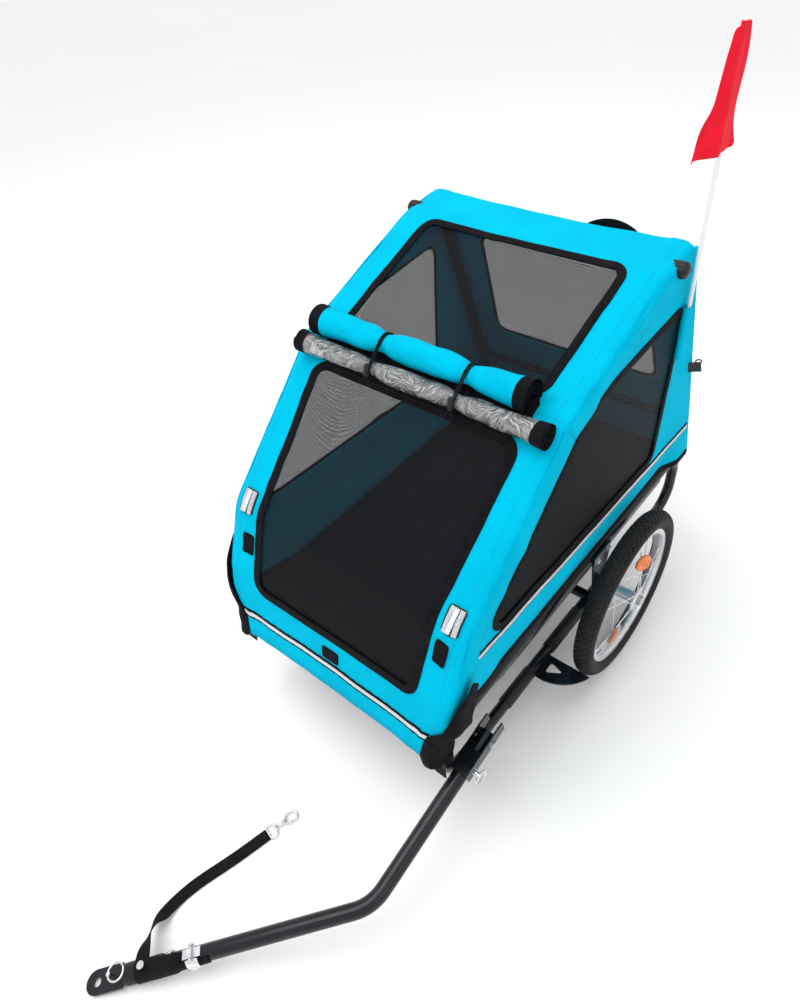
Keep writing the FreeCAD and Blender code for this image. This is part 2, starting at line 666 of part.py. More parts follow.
def spokes(sign):
    middle = Vector(v.wheel_x * sign, 0, v.wheel_radius)
    wires = []
    for i in range(SPOKE_COUNT):
        start, end = spoke_ends(i)
        run = end - start
        wires.append(Part.makeCylinder(v.spoke_radius, run.Length, middle + start, run))
    return wires


def wheel_reflectors(sign):
    """Round reflectors clipped on the outer side of two opposite spokes."""
    middle = Vector(v.wheel_x * sign, 0, v.wheel_radius)
    first = 3 if sign > 0 else 2
    discs = []
    for i in range(first, SPOKE_COUNT, SPOKE_COUNT // WHEEL_REFLECTORS):
        start, end = spoke_ends(i)
        run = end - start
        flat_run = math.hypot(run.y, run.z)
        share = (v.reflector_orbit - v.flange_radius) / flat_run
        edge_x = abs((start + run * (share - v.reflector_radius / flat_run)).x)
        spot = start + run * share
        spot.x = sign * (edge_x + v.spoke_radius * run.Length / flat_run + v.spoke_seat)
        out = Vector(sign, 0, 0)
        discs.append(Part.makeCylinder(v.reflector_radius, v.reflector_thickness, middle + spot, out))
    return Part.makeCompound(discs)


def make_axle(side, sign):
    """Push-button axle that stays in the bracket's boss while the hub turns on it."""
    inner = d.rail_x + d.rail_od / 2 + d.seat_gap + d.bracket_thickness
    outer = d.wheel_x + d.hub_length / 2 + d.seat_gap
    length = outer - inner
    start = inner * sign if sign > 0 else -outer
    shaft = cylinder(f"axle_shaft_{side}", d.axle_radius, length, start, 0, d.wheel_radius, "x")
    cap_start = outer if sign > 0 else -(outer + d.axle_cap_length)
    cap_length = d.axle_cap_length
    cap = cylinder(f"axle_cap_{side}", d.axle_cap_radius, cap_length, cap_start, 0, d.wheel_radius, "x")
    return fused(f"axle_{side}", shaft, cap)


# Base frame

def make_side_loop(side, sign):
    x = v.rail_x * sign
    front, rear, top, low = v.rail_front_y, v.rail_rear_y, v.rail_top_z, v.rail_low_z
    middle = (front + rear) / 2
    bends = [v.rail_bend] * 2
    front_half = [(middle, top), (front, top), (front, low), (middle, low)]
    rear_half = [(middle, low), (rear, low), (rear, top), (middle, top)]
    halves = [bent_tube(in_side_plane(h, x), bends, v.rail_od, v.tube_wall) for h in (front_half, rear_half)]
    loop = halves[0].fuse(halves[1]).removeSplitter()
    node(f"side_loop_{side}", formed(f"side_loop_{side}", loop))


def make_rail_skirts():
    """Flat strip under each upper rail, cut back along a slope at the front."""
    strips = []
    top = d.rail_top_z - d.rail_od / 2 - d.seat_gap / 3
    low = top - d.skirt_height
    outline = (
        (d.skirt_front_y, top - d.skirt_height / 4), (d.skirt_front_y + d.skirt_height * 4, low),
        (d.skirt_rear_y, low), (d.skirt_rear_y, top), (d.skirt_front_y, top),
    )
    for side, sign in SIDES:
        offset = d.rail_x * sign - d.skirt_thickness / 2
        strips.append(plate(f"skirt_{side}", "YZ_Plane", offset, d.skirt_thickness, outline))
    node("rail_skirts", grouped("rail_skirts", *strips))


def coped_tube(name, y, z):
    """Tube between the two side loops, its ends shaped to the rails."""
    half = d.rail_x - d.skirt_thickness / 2 - d.seat_gap
    outer = cylinder(f"{name}_outer", d.rail_od / 2, half * 2, half * -1, y, z, "x")
    bore = cylinder(f"{name}_bore", d.rail_od / 2 - d.tube_wall, half * 2, half * -1, y, z, "x")
    copes = []
    cope_radius = d.rail_od / 2 + d.seat_gap / 3
    for side, sign in SIDES:
        rail_z = d.rail_top_z if z.value > v.wheel_radius else d.rail_low_z
        start = y - d.rail_od
        rail_x = d.rail_x * sign
        cope = cylinder(f"{name}_cope_{side}", cope_radius, d.rail_od * 2, rail_x, start, rail_z, "y")
        copes.append(cope)
    return cut(name, outer, bore, *copes)


def make_cross_tubes():
    z = d.rail_top_z - d.rail_od / 2
    rows = (("front", d.cross_front_y), ("middle", Size.of(0)), ("rear", d.cross_rear_y))
    tubes = [coped_tube(f"cross_{row}", y, z) for row, y in rows]
    node("floor_cross_tubes", grouped("floor_cross_tubes", *tubes))
    node("axle_beam", coped_tube("axle_beam_tube", Size.of(0), d.rail_low_z))


def make_floor():
    half = d.rail_x - d.rail_od / 2 - d.seat_gap
    corner = d.rail_od
    outline = (
        (-half, d.floor_front_y + corner), (-half + corner, d.floor_front_y),
        (half - corner, d.floor_front_y), (half, d.floor_front_y + corner),
        (half, d.floor_rear_y), (-half, d.floor_rear_y),
    )
    low = d.rail_top_z + d.seat_gap
    node("floor_panel", plate("floor_panel", "XY_Plane", low, d.floor_thickness, outline))


def make_axle_bracket(side, sign):
    """Plate across both rails of one side, with the boss that holds the wheel's axle."""
    near = d.rail_x + d.rail_od / 2 + d.seat_gap / 3
    offset = near if sign > 0 else -(near + d.bracket_thickness)
    half = d.bracket_width / 2
    waist = half - d.rail_od / 2
    outline = (
        (-half, d.rail_low_z - d.rail_od / 2), (half, d.rail_low_z - d.rail_od / 2),
        (half, d.rail_low_z + d.rail_od / 2), (waist, d.wheel_radius),
        (half, d.rail_top_z - d.rail_od / 2), (half, d.rail_top_z + d.rail_od / 2),
        (-half, d.rail_top_z + d.rail_od / 2), (-half, d.rail_top_z - d.rail_od / 2),
        (-waist, d.wheel_radius), (-half, d.rail_low_z + d.rail_od / 2),
    )
    web = plate(f"bracket_plate_{side}", "YZ_Plane", offset, d.bracket_thickness, outline)
    inner = near + d.bracket_thickness
    start = inner if sign > 0 else -(inner + d.boss_length)
    boss = cylinder(f"boss_{side}", d.boss_radius, d.boss_length, start, 0, d.wheel_radius, "x")
    bore = cylinder(f"boss_bore_{side}", d.axle_radius, d.boss_length, start, 0, d.wheel_radius, "x")
    node(f"axle_bracket_{side}", cut(f"axle_bracket_{side}", fused(f"bracket_shell_{side}", web, boss), bore))


def make_guard(side, sign):
    """Level plate ahead of the tyre with a three-cornered cut-out."""
    near = v.rail_x + v.rail_od / 2 + v.seat_gap / 3
    depth = v.guard_depth
    z = v.rail_low_z - v.guard_thickness / 2

    def spot(out, back):
        return Vector(sign * (near + v.guard_reach * out), GUARD_FRONT + depth * back, z)

    edges = [
        Part.LineSegment(spot(0, 0), spot(0.2, 0)).toShape(),
        Part.Arc(spot(0.2, 0), spot(0.72, 0.36), spot(1, 1)).toShape(),
        Part.LineSegment(spot(1, 1), spot(0, 1)).toShape(),
        Part.LineSegment(spot(0, 1), spot(0, 0)).toShape(),
    ]
    lift = Vector(0, 0, v.guard_thickness)
    body = Part.Face(Part.Wire(edges)).extrude(lift)
    corners = [spot(0.14, 0.3), spot(0.5, 0.62), spot(0.14, 0.78)]
    window = rounded_face(corners, [v.guard_thickness] * 3).extrude(lift)
    node(f"wheel_guard_{side}", formed(f"wheel_guard_{side}", body.cut(window)))


# Drawbar

def channel_frame():
    """Placement with Y back along the drawbar's rear run and Z square to it, on its pivot."""
    return Placement(BAR_PIVOT, Rotation(Vector(1, 0, 0), bar_pitch))


def make_channel():
    """Channel open at the bottom: two slotted cheeks, the outer one with the roof that stops the bar."""
    half = v.bar_od / 2 + v.channel_gap
    wall = v.cheek_thickness
    pin_y = -v.lock_pin_offset
    notch_front = pin_y - v.lock_pin_radius - v.channel_gap
    notch_rear = pin_y + v.lock_pin_radius + wall
    notch_top = v.lock_pin_radius + v.channel_gap
    cheek_outline = [
        (v.channel_rear, -v.channel_drop), (v.channel_rear, half), (0.5 * v.channel_rear, half + wall),
        (-v.channel_front, half + wall), (-v.channel_front, -v.channel_drop), (notch_front, -v.channel_drop),
        (notch_front, notch_top), (notch_rear, notch_top), (notch_rear, -v.channel_drop),
    ]
    cheeks = []
    for x in (-half - wall, half):
        ring = [Vector(x, y, z) for y, z in cheek_outline]
        cheek = Part.Face(Part.makePolygon([*ring, ring[0]])).extrude(Vector(wall, 0, 0))
        hole = Part.makeCylinder(v.pivot_bolt_radius + v.running_gap, wall, Vector(x, 0, 0), Vector(1, 0, 0))
        cheeks.append(cheek.cut(hole))
    roof_length = v.channel_front - v.web_start
    roof = Part.makeBox(2 * half, roof_length, wall, Vector(-half, -v.channel_front, half))
    inner, outer = cheeks[0], cheeks[1].fuse(roof).removeSplitter()
    for name, shape in (("drawbar_channel", outer), ("channel_inner_cheek", inner)):
        shape.Placement = channel_frame()
        node(name, formed(name, shape))


def make_pivot_bolt():
    half = v.bar_od / 2 + v.channel_gap + v.cheek_thickness
    shank = Part.makeCylinder(v.pivot_bolt_radius, 2 * half, Vector(-half, 0, 0), Vector(1, 0, 0))
    head = Part.makeCylinder(v.bolt_head_radius, v.bolt_head_height, Vector(half, 0, 0), Vector(1, 0, 0))
    shape = shank.fuse(head)
    shape.Placement = channel_frame()
    node("drawbar_pivot_bolt", formed("drawbar_pivot_bolt", shape))


def make_bar_tube():
    rear = (BAR_PIVOT - BAR_BEND).normalize()
    start = BAR_PIVOT + rear * v.bar_stub
    tube = bent_tube([start, BAR_BEND, BAR_END], [v.bar_elbow], v.bar_od, v.bar_wall)
    across = Vector(1, 0, 0)
    reach = Vector(v.bar_od, 0, 0)
    pivot_radius = v.pivot_bolt_radius + v.running_gap
    pivot_hole = Part.makeCylinder(pivot_radius, 2 * v.bar_od, BAR_PIVOT - reach, across)
    pin_spot = BAR_PIVOT - rear * v.lock_pin_offset
    pin_hole = Part.makeCylinder(v.lock_pin_radius + v.running_gap, 2 * v.bar_od, pin_spot - reach, across)
    node("drawbar_tube", formed("drawbar_tube", tube.cut(pivot_hole).cut(pin_hole)))


def make_lock_pin():
    """Cross pin through the drawbar, with its round wire clip outside the channel."""
    half = v.bar_od / 2 + v.channel_gap + v.cheek_thickness
    start = v.seat_gap - half
    end = start + v.lock_pin_length
    axis = Vector(1, 0, 0)
    pin = Part.makeCylinder(v.lock_pin_radius, v.lock_pin_length, Vector(start, 0, 0), axis)
    ring = Part.makeTorus(v.clip_ring_radius, v.clip_wire_radius, Vector(end, 0, -v.clip_ring_radius), axis)
    shape = pin.fuse(ring)
    shape.translate(Vector(0, -v.lock_pin_offset, 0))
    shape.Placement = channel_frame().multiply(shape.Placement)
    node("drawbar_lock_pin", formed("drawbar_lock_pin", shape))


def make_hitch_tab():
    """Flat eye with a tongue that sits inside the tube's end."""
    half, tongue = v.tab_width / 2, v.tongue_width / 2
    step = v.tab_thickness
    nose = [Vector(v.tab_reach + half * out, half * side, 0) for out, side in ((0, -1), (1, 0), (0, 1))]
    edges = [
        Part.LineSegment(Vector(-v.tongue_length, -tongue, 0), Vector(v.seat_gap, -tongue, 0)).toShape(),
        Part.LineSegment(Vector(v.seat_gap, -tongue, 0), Vector(step, -half, 0)).toShape(),
        Part.LineSegment(Vector(step, -half, 0), Vector(v.tab_reach, -half, 0)).toShape(),
        Part.Arc(*nose).toShape(),
        Part.LineSegment(Vector(v.tab_reach, half, 0), Vector(step, half, 0)).toShape(),
        Part.LineSegment(Vector(step, half, 0), Vector(v.seat_gap, tongue, 0)).toShape(),
        Part.LineSegment(Vector(v.seat_gap, tongue, 0), Vector(-v.tongue_length, tongue, 0)).toShape(),
        Part.LineSegment(Vector(-v.tongue_length, tongue, 0), Vector(-v.tongue_length, -tongue, 0)).toShape(),
    ]
    lift = Vector(0, 0, v.tab_thickness)
    shape = Part.Face(Part.Wire(edges)).extrude(lift)
    pin_hole = v.lock_pin_radius + v.running_gap
    for x, radius in ((v.tab_reach, v.tab_hole_radius), (v.hitch_pin_offset, pin_hole)):
        shape = shape.cut(Part.makeCylinder(radius, v.tab_thickness, Vector(x, 0, 0)))
    shape.translate(Vector(0, 0, -v.tab_thickness / 2))
    shape.Placement = bar_frame(BAR_END).multiply(shape.Placement)
    node("hitch_tab", formed("hitch_tab", shape))


def make_hitch_pin():
    below = v.tab_thickness / 2 + v.lock_pin_radius
    pin = Part.makeCylinder(v.lock_pin_radius, v.hitch_pin_length, Vector(0, 0, -below))
    top = v.hitch_pin_length - below
    ring_middle = Vector(-v.clip_ring_radius, 0, top)
    ring = Part.makeTorus(v.clip_ring_radius, v.clip_wire_radius, ring_middle, Vector(0, 0, 1))
    shape = pin.fuse(ring)
    shape.Placement = bar_frame(along_bar(-v.hitch_pin_offset))
    node("hitch_pin", formed("hitch_pin", shape))


def make_collar():
    """Plastic collar over the tube's front end."""
    inner = v.bar_od / 2 + v.running_gap
    back = along_bar(v.collar_length)
    outer = Part.makeCylinder(inner + v.collar_wall, v.collar_length, back, BAR_AXIS)
    bore = Part.makeCylinder(inner, v.collar_length, back, BAR_AXIS)
    node("drawbar_collar", formed("drawbar_collar", outer.cut(bore)))


def make_ring_plate():
    """Riveted plate with two ears that carry the tether ring."""
    top = v.bar_od / 2 + v.seat_gap / 3
    length, width, thick = v.ring_plate_length, v.ring_plate_width, v.ring_plate_thickness
    base = Part.makeBox(length, width, thick, Vector(-length / 2, -width / 2, top))
    ear_hole = v.ring_wire_radius + v.running_gap
    ear_radius = ear_hole + thick
    ear_height = top + ear_radius + v.seat_gap
    pieces = [base]
    for y in (-v.ring_radius - thick, v.ring_radius):
        ear = Part.makeCylinder(ear_radius, thick, Vector(0, y, ear_height), Vector(0, 1, 0))
        pieces.append(ear)
    reach = v.ring_radius + thick
    foot = Part.makeBox(2 * ear_radius, 2 * reach, thick, Vector(-ear_radius, -reach, top))
    shape = pieces[0].multiFuse([*pieces[1:], foot])
    hole = Part.makeCylinder(ear_hole, 4 * reach, Vector(0, -2 * reach, ear_height), Vector(0, 1, 0))
    shape = shape.cut(hole)
    shape.Placement = bar_frame(along_bar(v.ring_plate_offset))
    node("ring_plate", formed("ring_plate", shape))
    return ear_height


def make_tether_ring(ear_height):
    """Half-round ring whose straight side turns in the plate's ears; it leans back on the drawbar."""
    r, wire = v.ring_radius - v.seat_gap, v.ring_wire_radius
    reach = v.ring_radius + v.ring_plate_thickness
    bar = Part.makeCylinder(wire, 2 * reach, Vector(0, -reach, 0), Vector(0, 1, 0))
    inner = r - wire
    path = [Vector(0, -inner, 0), Vector(0, -inner, inner), Vector(0, inner, inner), Vector(0, inner, 0)]
    bow = swept(path, [inner * 0.8] * 2, wire)
    shape = bar.fuse(bow)
    shape.Placement = bar_frame(along_bar(v.ring_plate_offset, ear_height))
    node("tether_ring", formed("tether_ring", shape))


def make_strap_bolt():
    """Bolt on the collar; the strap's end lies a webbing's height above the collar, under the bolt's head."""
    top = v.bar_od / 2 + v.running_gap + v.collar_wall
    shank_length = v.strap_lift + v.strap_thickness + v.strap_head_gap
    head = Part.makeCylinder(v.strap_bolt_head_radius, v.strap_thickness, Vector(0, 0, top + shank_length))
    shank = Part.makeCylinder(v.lock_pin_radius, shank_length, Vector(0, 0, top))
    shape = head.fuse(shank)
    shape.Placement = bar_frame(along_bar(v.strap_bolt_offset))
    node("strap_bolt", formed("strap_bolt", shape))
    return top + v.strap_lift


def make_strap(lay_height):
    """Webbing from under its bolt, off the side of the drawbar and along the ground."""
    anchor = along_bar(v.strap_bolt_offset, lay_height + v.strap_thickness / 2)
    side = BAR_SIDE if BAR_SIDE.y > 0 else BAR_SIDE * -1
    start = anchor + side * (v.lock_pin_radius + 2 * v.seat_gap)
    points = [start, *[Vector(p) for p in STRAP_POINTS]]
    radii = []
    for before, corner, after in zip(points, points[1:], points[2:]):
        back, ahead = before - corner, after - corner
        turn = math.pi - back.getAngle(ahead)
        straight = turn < math.radians(0.5)
        radii.append(0 if straight else 0.45 * min(back.Length, ahead.Length) / math.tan(turn / 2))
    path = Part.Wire(rounded_edges(points, radii))
    along = (points[1] - points[0]).normalize()
    across = along.cross(Vector(0, 0, 1)).normalize()
    up = across.cross(along)
    w, t = across * (v.strap_width / 2), up * (v.strap_thickness / 2)
    ring = Part.makePolygon([start - w - t, start + w - t, start + w + t, start - w + t, start - w - t])
    shell = Part.BRepOffsetAPI.MakePipeShell(path)
    shell.setBiNormalMode(Vector(0, 0, 1))
    shell.add(ring)
    shell.build()
    shell.makeSolid()
    strap = shell.shape()
    print("strap length", round(path.Length, 1), "least radius", round(min(radii), 1),
          "volume ratio", round(strap.Volume / (path.Length * v.strap_width * v.strap_thickness), 3))
    node("safety_strap", formed("safety_strap", strap))
    return points


def make_snap_hook(points):
    """Swivel eye, barrel and bow of the strap's hook, lying on the ground."""
    along = points[-1] - points[-2]
    along.z = 0
    along.normalize()
    z = v.hook_barrel_radius + v.seat_gap
    reach = v.hook_ring_radius + v.hook_wire_radius + v.seat_gap
    eye_middle = Vector(points[-1].x, points[-1].y, z) + along * reach
    eye = Part.makeTorus(v.hook_ring_radius, v.hook_wire_radius, eye_middle, Vector(0, 0, 1))
    barrel_start = eye_middle + along * v.hook_ring_radius
    barrel = Part.makeCylinder(v.hook_barrel_radius, v.hook_barrel_length, barrel_start, along)
    bow_middle = barrel_start + along * (v.hook_barrel_length + v.hook_bow_radius)
    bow = Part.makeTorus(v.hook_bow_radius, v.hook_wire_radius * 1.2, bow_middle, Vector(0, 0, 1))
    node("snap_hook", formed("snap_hook", eye.fuse(barrel).fuse(bow)))


# Cabin fabric

def lower_radii():
    return [v.panel_bend, v.panel_bend]


def door_prism(inset):
    half_bottom = v.door_bottom_half - inset
    half_top = v.door_top_half - inset
    front, rear = v.door_bottom_y + inset, DOOR_HINGE[0] - inset
    return upright_prism(half_bottom, half_top, front, rear, v.window_corner - inset)


def make_front_panel():
    width = v.panel_half_width
    panel = sheet_solid([HEM, KNEE, BROW, SEAM], lower_radii(), 0, v.fabric, -width, width)
    node("front_panel", formed("front_panel", panel.cut(door_prism(0))))


def make_front_door():
    """Mesh door with a binding all round, in the front panel's opening."""
    width = v.panel_half_width
    whole = door_prism(v.door_gap)
    middle = door_prism(v.door_gap + v.binding_width)
    rim = sheet_solid([HEM, KNEE, BROW, SEAM], lower_radii(), 0, v.fabric, -width, width)
    mesh = sheet_solid([HEM, KNEE, BROW, SEAM], lower_radii(), v.mesh, v.mesh, -width, width)
    door = rim.common(whole).cut(middle).fuse(mesh.common(whole))
    node("front_door", formed("front_door", door.removeSplitter()))


def roof_prism(grow):
    half = v.roof_window_half + grow
    front, rear = v.roof_window_front_y - grow, v.roof_window_rear_y + grow
    return upright_prism(half, half, front, rear, v.window_corner + grow)


def make_roof():
    width = v.panel_half_width
    panel = sheet_solid([SEAM, CROWN, TAIL], [v.panel_bend], 0, v.fabric, -width, width)
    front = sheet_solid([HEM, KNEE, BROW, SEAM], lower_radii(), 0, v.fabric + v.sewn_gap, -width, width)
    node("roof_panel", formed("roof_panel", panel.cut(roof_prism(0)).cut(front)))
    mesh = sheet_solid([SEAM, CROWN, TAIL], [v.panel_bend], v.fabric + v.sewn_gap, v.mesh, -width, width)
    node("roof_window", formed("roof_window", mesh.common(roof_prism(v.mesh_lap))))


SIDE_WINDOW = [
    (v.brow_y + v.side_window_toe_back, v.brow_z - v.side_window_toe_drop),
    (v.rear_foot_y - v.side_window_heel_in, v.rear_foot_z + v.side_window_heel_up),
    (v.rear_head_y - v.side_window_head_in, v.rear_head_z - v.side_window_head_drop),
    (v.seam_y + v.side_window_brow_back, v.seam_z - v.side_window_brow_drop),
]


def side_window_face(grow, x):
    """The side window's outline, grown by a lap for the mesh behind it."""
    ring = [*SIDE_WINDOW, *SIDE_WINDOW[:2]]
    corners = shifted(ring, grow)[1:-1]
    corner = v.window_corner
    radii = [corner, corner, 2 * corner, corner / 2]
    return rounded_face(in_side_plane(corners, x), [r + grow for r in radii])


def make_side_panel(side, sign):
    """Flat side with an edge turned in along the front and roof, and a mesh window."""
    start = (KNEE[0] + (v.side_hem_z - KNEE[1]) * (HEM[0] - KNEE[0]) / (HEM[1] - KNEE[1]), v.side_hem_z)
    rear_slope = (REAR_HEAD[0] - REAR_FOOT[0]) / (REAR_HEAD[1] - REAR_FOOT[1])
    foot = (REAR_FOOT[0] + (v.side_hem_z - REAR_FOOT[1]) * rear_slope, v.side_hem_z)
    outline = [start, KNEE, BROW, SEAM, CROWN, TAIL, REAR_HEAD, foot, start]
    bends = [v.panel_bend, v.panel_bend, 0, v.panel_bend, 0, 0, 0]
    x0 = v.side_x
    face = Part.Face(Part.Wire(rounded_edges(in_side_plane(outline, x0), bends)))
    panel = face.extrude(Vector(v.fabric, 0, 0))
    turn_start = between(KNEE, HEM, v.fabric * 10)
    line = [turn_start, KNEE, BROW, SEAM, CROWN, TAIL]
    edge = sheet_solid(line, [v.panel_bend, v.panel_bend, 0, v.panel_bend],
                       0, v.fabric, v.panel_half_width + v.sewn_gap, x0)
    window = side_window_face(0, x0 - v.fabric).extrude(Vector(3 * v.fabric, 0, 0))
    hole_start = Vector(x0 - v.fabric, *knob_spot())
    knob_hole = Part.makeCylinder(v.shank_radius + v.sewn_gap, 3 * v.fabric, hole_start, Vector(1, 0, 0))
    panel = panel.fuse(edge).cut(window).cut(knob_hole).cut(sleeve_slot())
    mesh = side_window_face(v.mesh_lap, x0 - v.sewn_gap - v.mesh).extrude(Vector(v.mesh, 0, 0))
    if sign < 0:
        panel, mesh = mirrored(panel), mirrored(mesh)
    node(f"side_panel_{side}", formed(f"side_panel_{side}", panel))
    node(f"side_window_{side}", formed(f"side_window_{side}", mesh))


def make_rear():
    half = v.side_x - v.sewn_gap
    foot = between(REAR_FOOT, REAR_HEAD, (v.side_hem_z - v.rear_foot_z) * 1.05)
    low, high, side = v.rear_window_low_z, v.rear_window_high_z, v.rear_window_half
    def opening(grow):
        out, under, over = side + grow, low - grow, high + grow
        corners = [(-out, under), (out, under), (out, over), (-out, over)]
        face = rounded_face([Vector(x, 0, z) for x, z in corners], [v.window_corner + grow] * 4)
        return face.extrude(Vector(0, 2 * v.rear_foot_y, 0))
    panel = sheet_solid([REAR_HEAD, foot], [], 0, v.fabric, -half, half)
    node("rear_panel", formed("rear_panel", panel.cut(opening(0))))
    mesh = sheet_solid([REAR_HEAD, foot], [], v.fabric + v.sewn_gap, v.mesh, -half, half)
    node("rear_window", formed("rear_window", mesh.common(opening(v.mesh_lap))))


# Folding frame

def cross_hole(x, spot):
    start = Vector(x - v.hoop_od, *spot)
    return Part.makeCylinder(v.hinge_pin_radius + v.running_gap, 2 * v.hoop_od, start, Vector(1, 0, 0))


def make_hoop(side, sign):
    x = v.hoop_x * sign
    foot = between(HOOP_PIVOT, HOOP_LINE[0], v.post_foot)
    points = in_side_plane([foot, *HOOP_LINE[1:]], x)
    tube = bent_tube(points, [v.hoop_bend] * 4, v.hoop_od, v.tube_wall)
    node(f"hoop_tube_{side}", formed(f"hoop_tube_{side}", tube.cut(cross_hole(x, HOOP_PIVOT))))


def make_hoop_bars():
    """Cross bars at the seam and at the rear of the roof."""
    inner = d.hoop_x - d.hoop_od / 2 - d.seat_gap / 3
    bars = []
    seam_spot = between(HOOP_LINE[3], HOOP_LINE[2], v.hoop_od)
    roof_spot = between(HOOP_LINE[5], HOOP_LINE[4], v.hoop_od)
    for name, spot in (("seam_bar", seam_spot), ("roof_bar", roof_spot)):
        bars.append(cylinder(name, d.bar_to_bar, inner * 2, -inner, spot[0], spot[1], "x"))
    node("hoop_cross_bars", grouped("hoop_cross_bars", *bars))


def make_posts():
    posts = []
    for side, sign in SIDES:
        x = v.post_x * sign
        foot = between(POST_PIVOT, POST_LINE[1], v.post_foot)
        tube = bent_tube(in_side_plane([foot, POST_TOP], x), [], v.hoop_od, v.tube_wall)
        posts.append(tube.cut(cross_hole(x, POST_PIVOT)))
    node("rear_posts", formed("rear_posts", Part.makeCompound(posts)))
    spot = between(POST_PIVOT, POST_TOP, v.brace_up)
    inner = d.post_x - d.hoop_od / 2 - d.seat_gap / 3
    node("rear_brace", cylinder("rear_brace_bar", d.bar_to_bar, inner * 2, -inner, spot[0], spot[1], "x"))


def hinge_plate_shape(pivot, foot_front, foot_rear, x):
    """Plate that stands on the upper rail and is round about the hinge pin."""
    low = v.rail_top_z + v.rail_od / 2 + v.seat_gap / 3
    r = v.hinge_knuckle
    out = -1 if pivot[0] < foot_front else 1
    near, far = (foot_rear, foot_front) if out < 0 else (foot_front, foot_rear)
    y, z = pivot
    ring = ((near, low), (near, low + r), (y, z + r), (y + out * r, z), (y, z - r), (far, low))
    corners = [Vector(x, *spot) for spot in ring]
    edges = [
        Part.LineSegment(corners[0], corners[1]).toShape(),
        Part.LineSegment(corners[1], corners[2]).toShape(),
        Part.Arc(corners[2], corners[3], corners[4]).toShape(),
        Part.LineSegment(corners[4], corners[5]).toShape(),
        Part.LineSegment(corners[5], corners[0]).toShape(),
    ]
    slab = Part.Face(Part.Wire(edges)).extrude(Vector(v.hinge_plate, 0, 0))
    hole = Part.makeCylinder(v.hinge_pin_radius, v.hinge_plate, Vector(x, y, z), Vector(1, 0, 0))
    return slab.cut(hole)


def make_hinges():
    gap = v.tube_to_fabric
    front_x = v.hoop_x + v.hoop_od / 2 + 3 * gap
    rear_x = v.post_x - v.hoop_od / 2 - gap / 2 - v.hinge_plate
    straight_front = v.rail_front_y + v.rail_bend
    straight_rear = v.rail_rear_y - v.rail_bend
    front = hinge_plate_shape(HOOP_PIVOT, straight_front, straight_front + v.bracket_width, front_x)
    rear = hinge_plate_shape(POST_PIVOT, straight_rear - v.bracket_width, straight_rear, rear_x)
    node("front_hinge_brackets", formed("front_hinge_brackets", Part.makeCompound([front, mirrored(front)])))
    node("rear_hinge_brackets", formed("rear_hinge_brackets", Part.makeCompound([rear, mirrored(rear)])))
    pins = []
    for spot, start, end in (
        (HOOP_PIVOT, v.hoop_x - v.hoop_od / 2 - gap, front_x + v.hinge_plate),
        (POST_PIVOT, rear_x, v.post_x + v.hoop_od / 2 + gap),
    ):
        pin = Part.makeCylinder(v.hinge_pin_radius, end - start, Vector(start, *spot), Vector(1, 0, 0))
        pins += [pin, mirrored(pin)]
    node("hinge_pins", formed("hinge_pins", Part.makeCompound(pins)))


def knob_spot():
    """On the hoop tube's centre line at the knob's place along the roof."""
    (y0, z0), (y1, z1) = HOOP_LINE[4], HOOP_LINE[5]
    return v.knob_y, z0 + (z1 - z0) * (v.knob_y - y0) / (y1 - y0)


def make_knobs():
    """Corner knobs outside the fabric, on shanks from the hoop tubes."""
    y, z = knob_spot()
    start = v.hoop_x + v.hoop_od / 2 + v.running_gap
    face = v.side_x + v.fabric + v.sewn_gap
    axis = Vector(1, 0, 0)
    shank = Part.makeCylinder(v.shank_radius, face - start, Vector(start, y, z), axis)
    grip = Part.makeCone(v.knob_radius, v.knob_radius * 0.8, v.knob_length, Vector(face, y, z), axis)
    knob = shank.fuse(grip)
    node("corner_knobs", formed("corner_knobs", Part.makeCompound([knob, mirrored(knob)])))


# Covers, reflectors and flag

def roll_middle(toward, radius):
    """Middle of a roll that lies on the fabric beside the cross seam."""
    y, z = between(SEAM, toward, v.roll_shift)
    a, b = (toward, SEAM) if toward[0] < SEAM[0] else (SEAM, toward)
    length = math.dist(a, b)
    lift = radius + v.roll_lift
    return y - (b[1] - a[1]) / length * lift, z + (b[0] - a[0]) / length * lift


def make_rolls():
    storm = roll_middle(CROWN, v.storm_roll_radius)
    clear = roll_middle(BROW, v.clear_roll_radius)
    for name, spot, radius, length, x in (
        ("storm_cover_roll", storm, d.storm_roll_radius, d.storm_roll_length, d.storm_roll_x),
        ("clear_cover_roll", clear, d.clear_roll_radius, d.clear_roll_length, d.clear_roll_x),
    ):
        node(name, cylinder(f"{name}_form", radius, length, x - length / 2, spot[0], spot[1], "x"))
    ties = []
    for x in (-v.tie_x, v.tie_x):
        ties += roll_tie(x, storm, clear)
    node("roll_ties", formed("roll_ties", Part.makeCompound(ties)))


def tie_ring(x, spot, radius):
    """Elastic loop round one roll."""
    start = Vector(x - v.tie_width / 2, *spot)
    axis = Vector(1, 0, 0)
    inner = radius + v.seat_gap
    ring = Part.makeCylinder(inner + v.tie_thickness, v.tie_width, start, axis)
    return ring.cut(Part.makeCylinder(inner, v.tie_width, start, axis))


def roll_tie(x, storm, clear):
    """A loop round each roll, and the toggle that draws them up."""
    loops = [tie_ring(x, storm, v.storm_roll_radius), tie_ring(x, clear, v.clear_roll_radius)]
    lift = v.storm_roll_radius + 2 * v.seat_gap + v.tie_thickness + v.toggle_radius
    start = Vector(x - v.toggle_length / 2, storm[0], storm[1] + lift)
    toggle = Part.makeCylinder(v.toggle_radius, v.toggle_length, start, Vector(1, 0, 0))
    return [*loops, toggle]


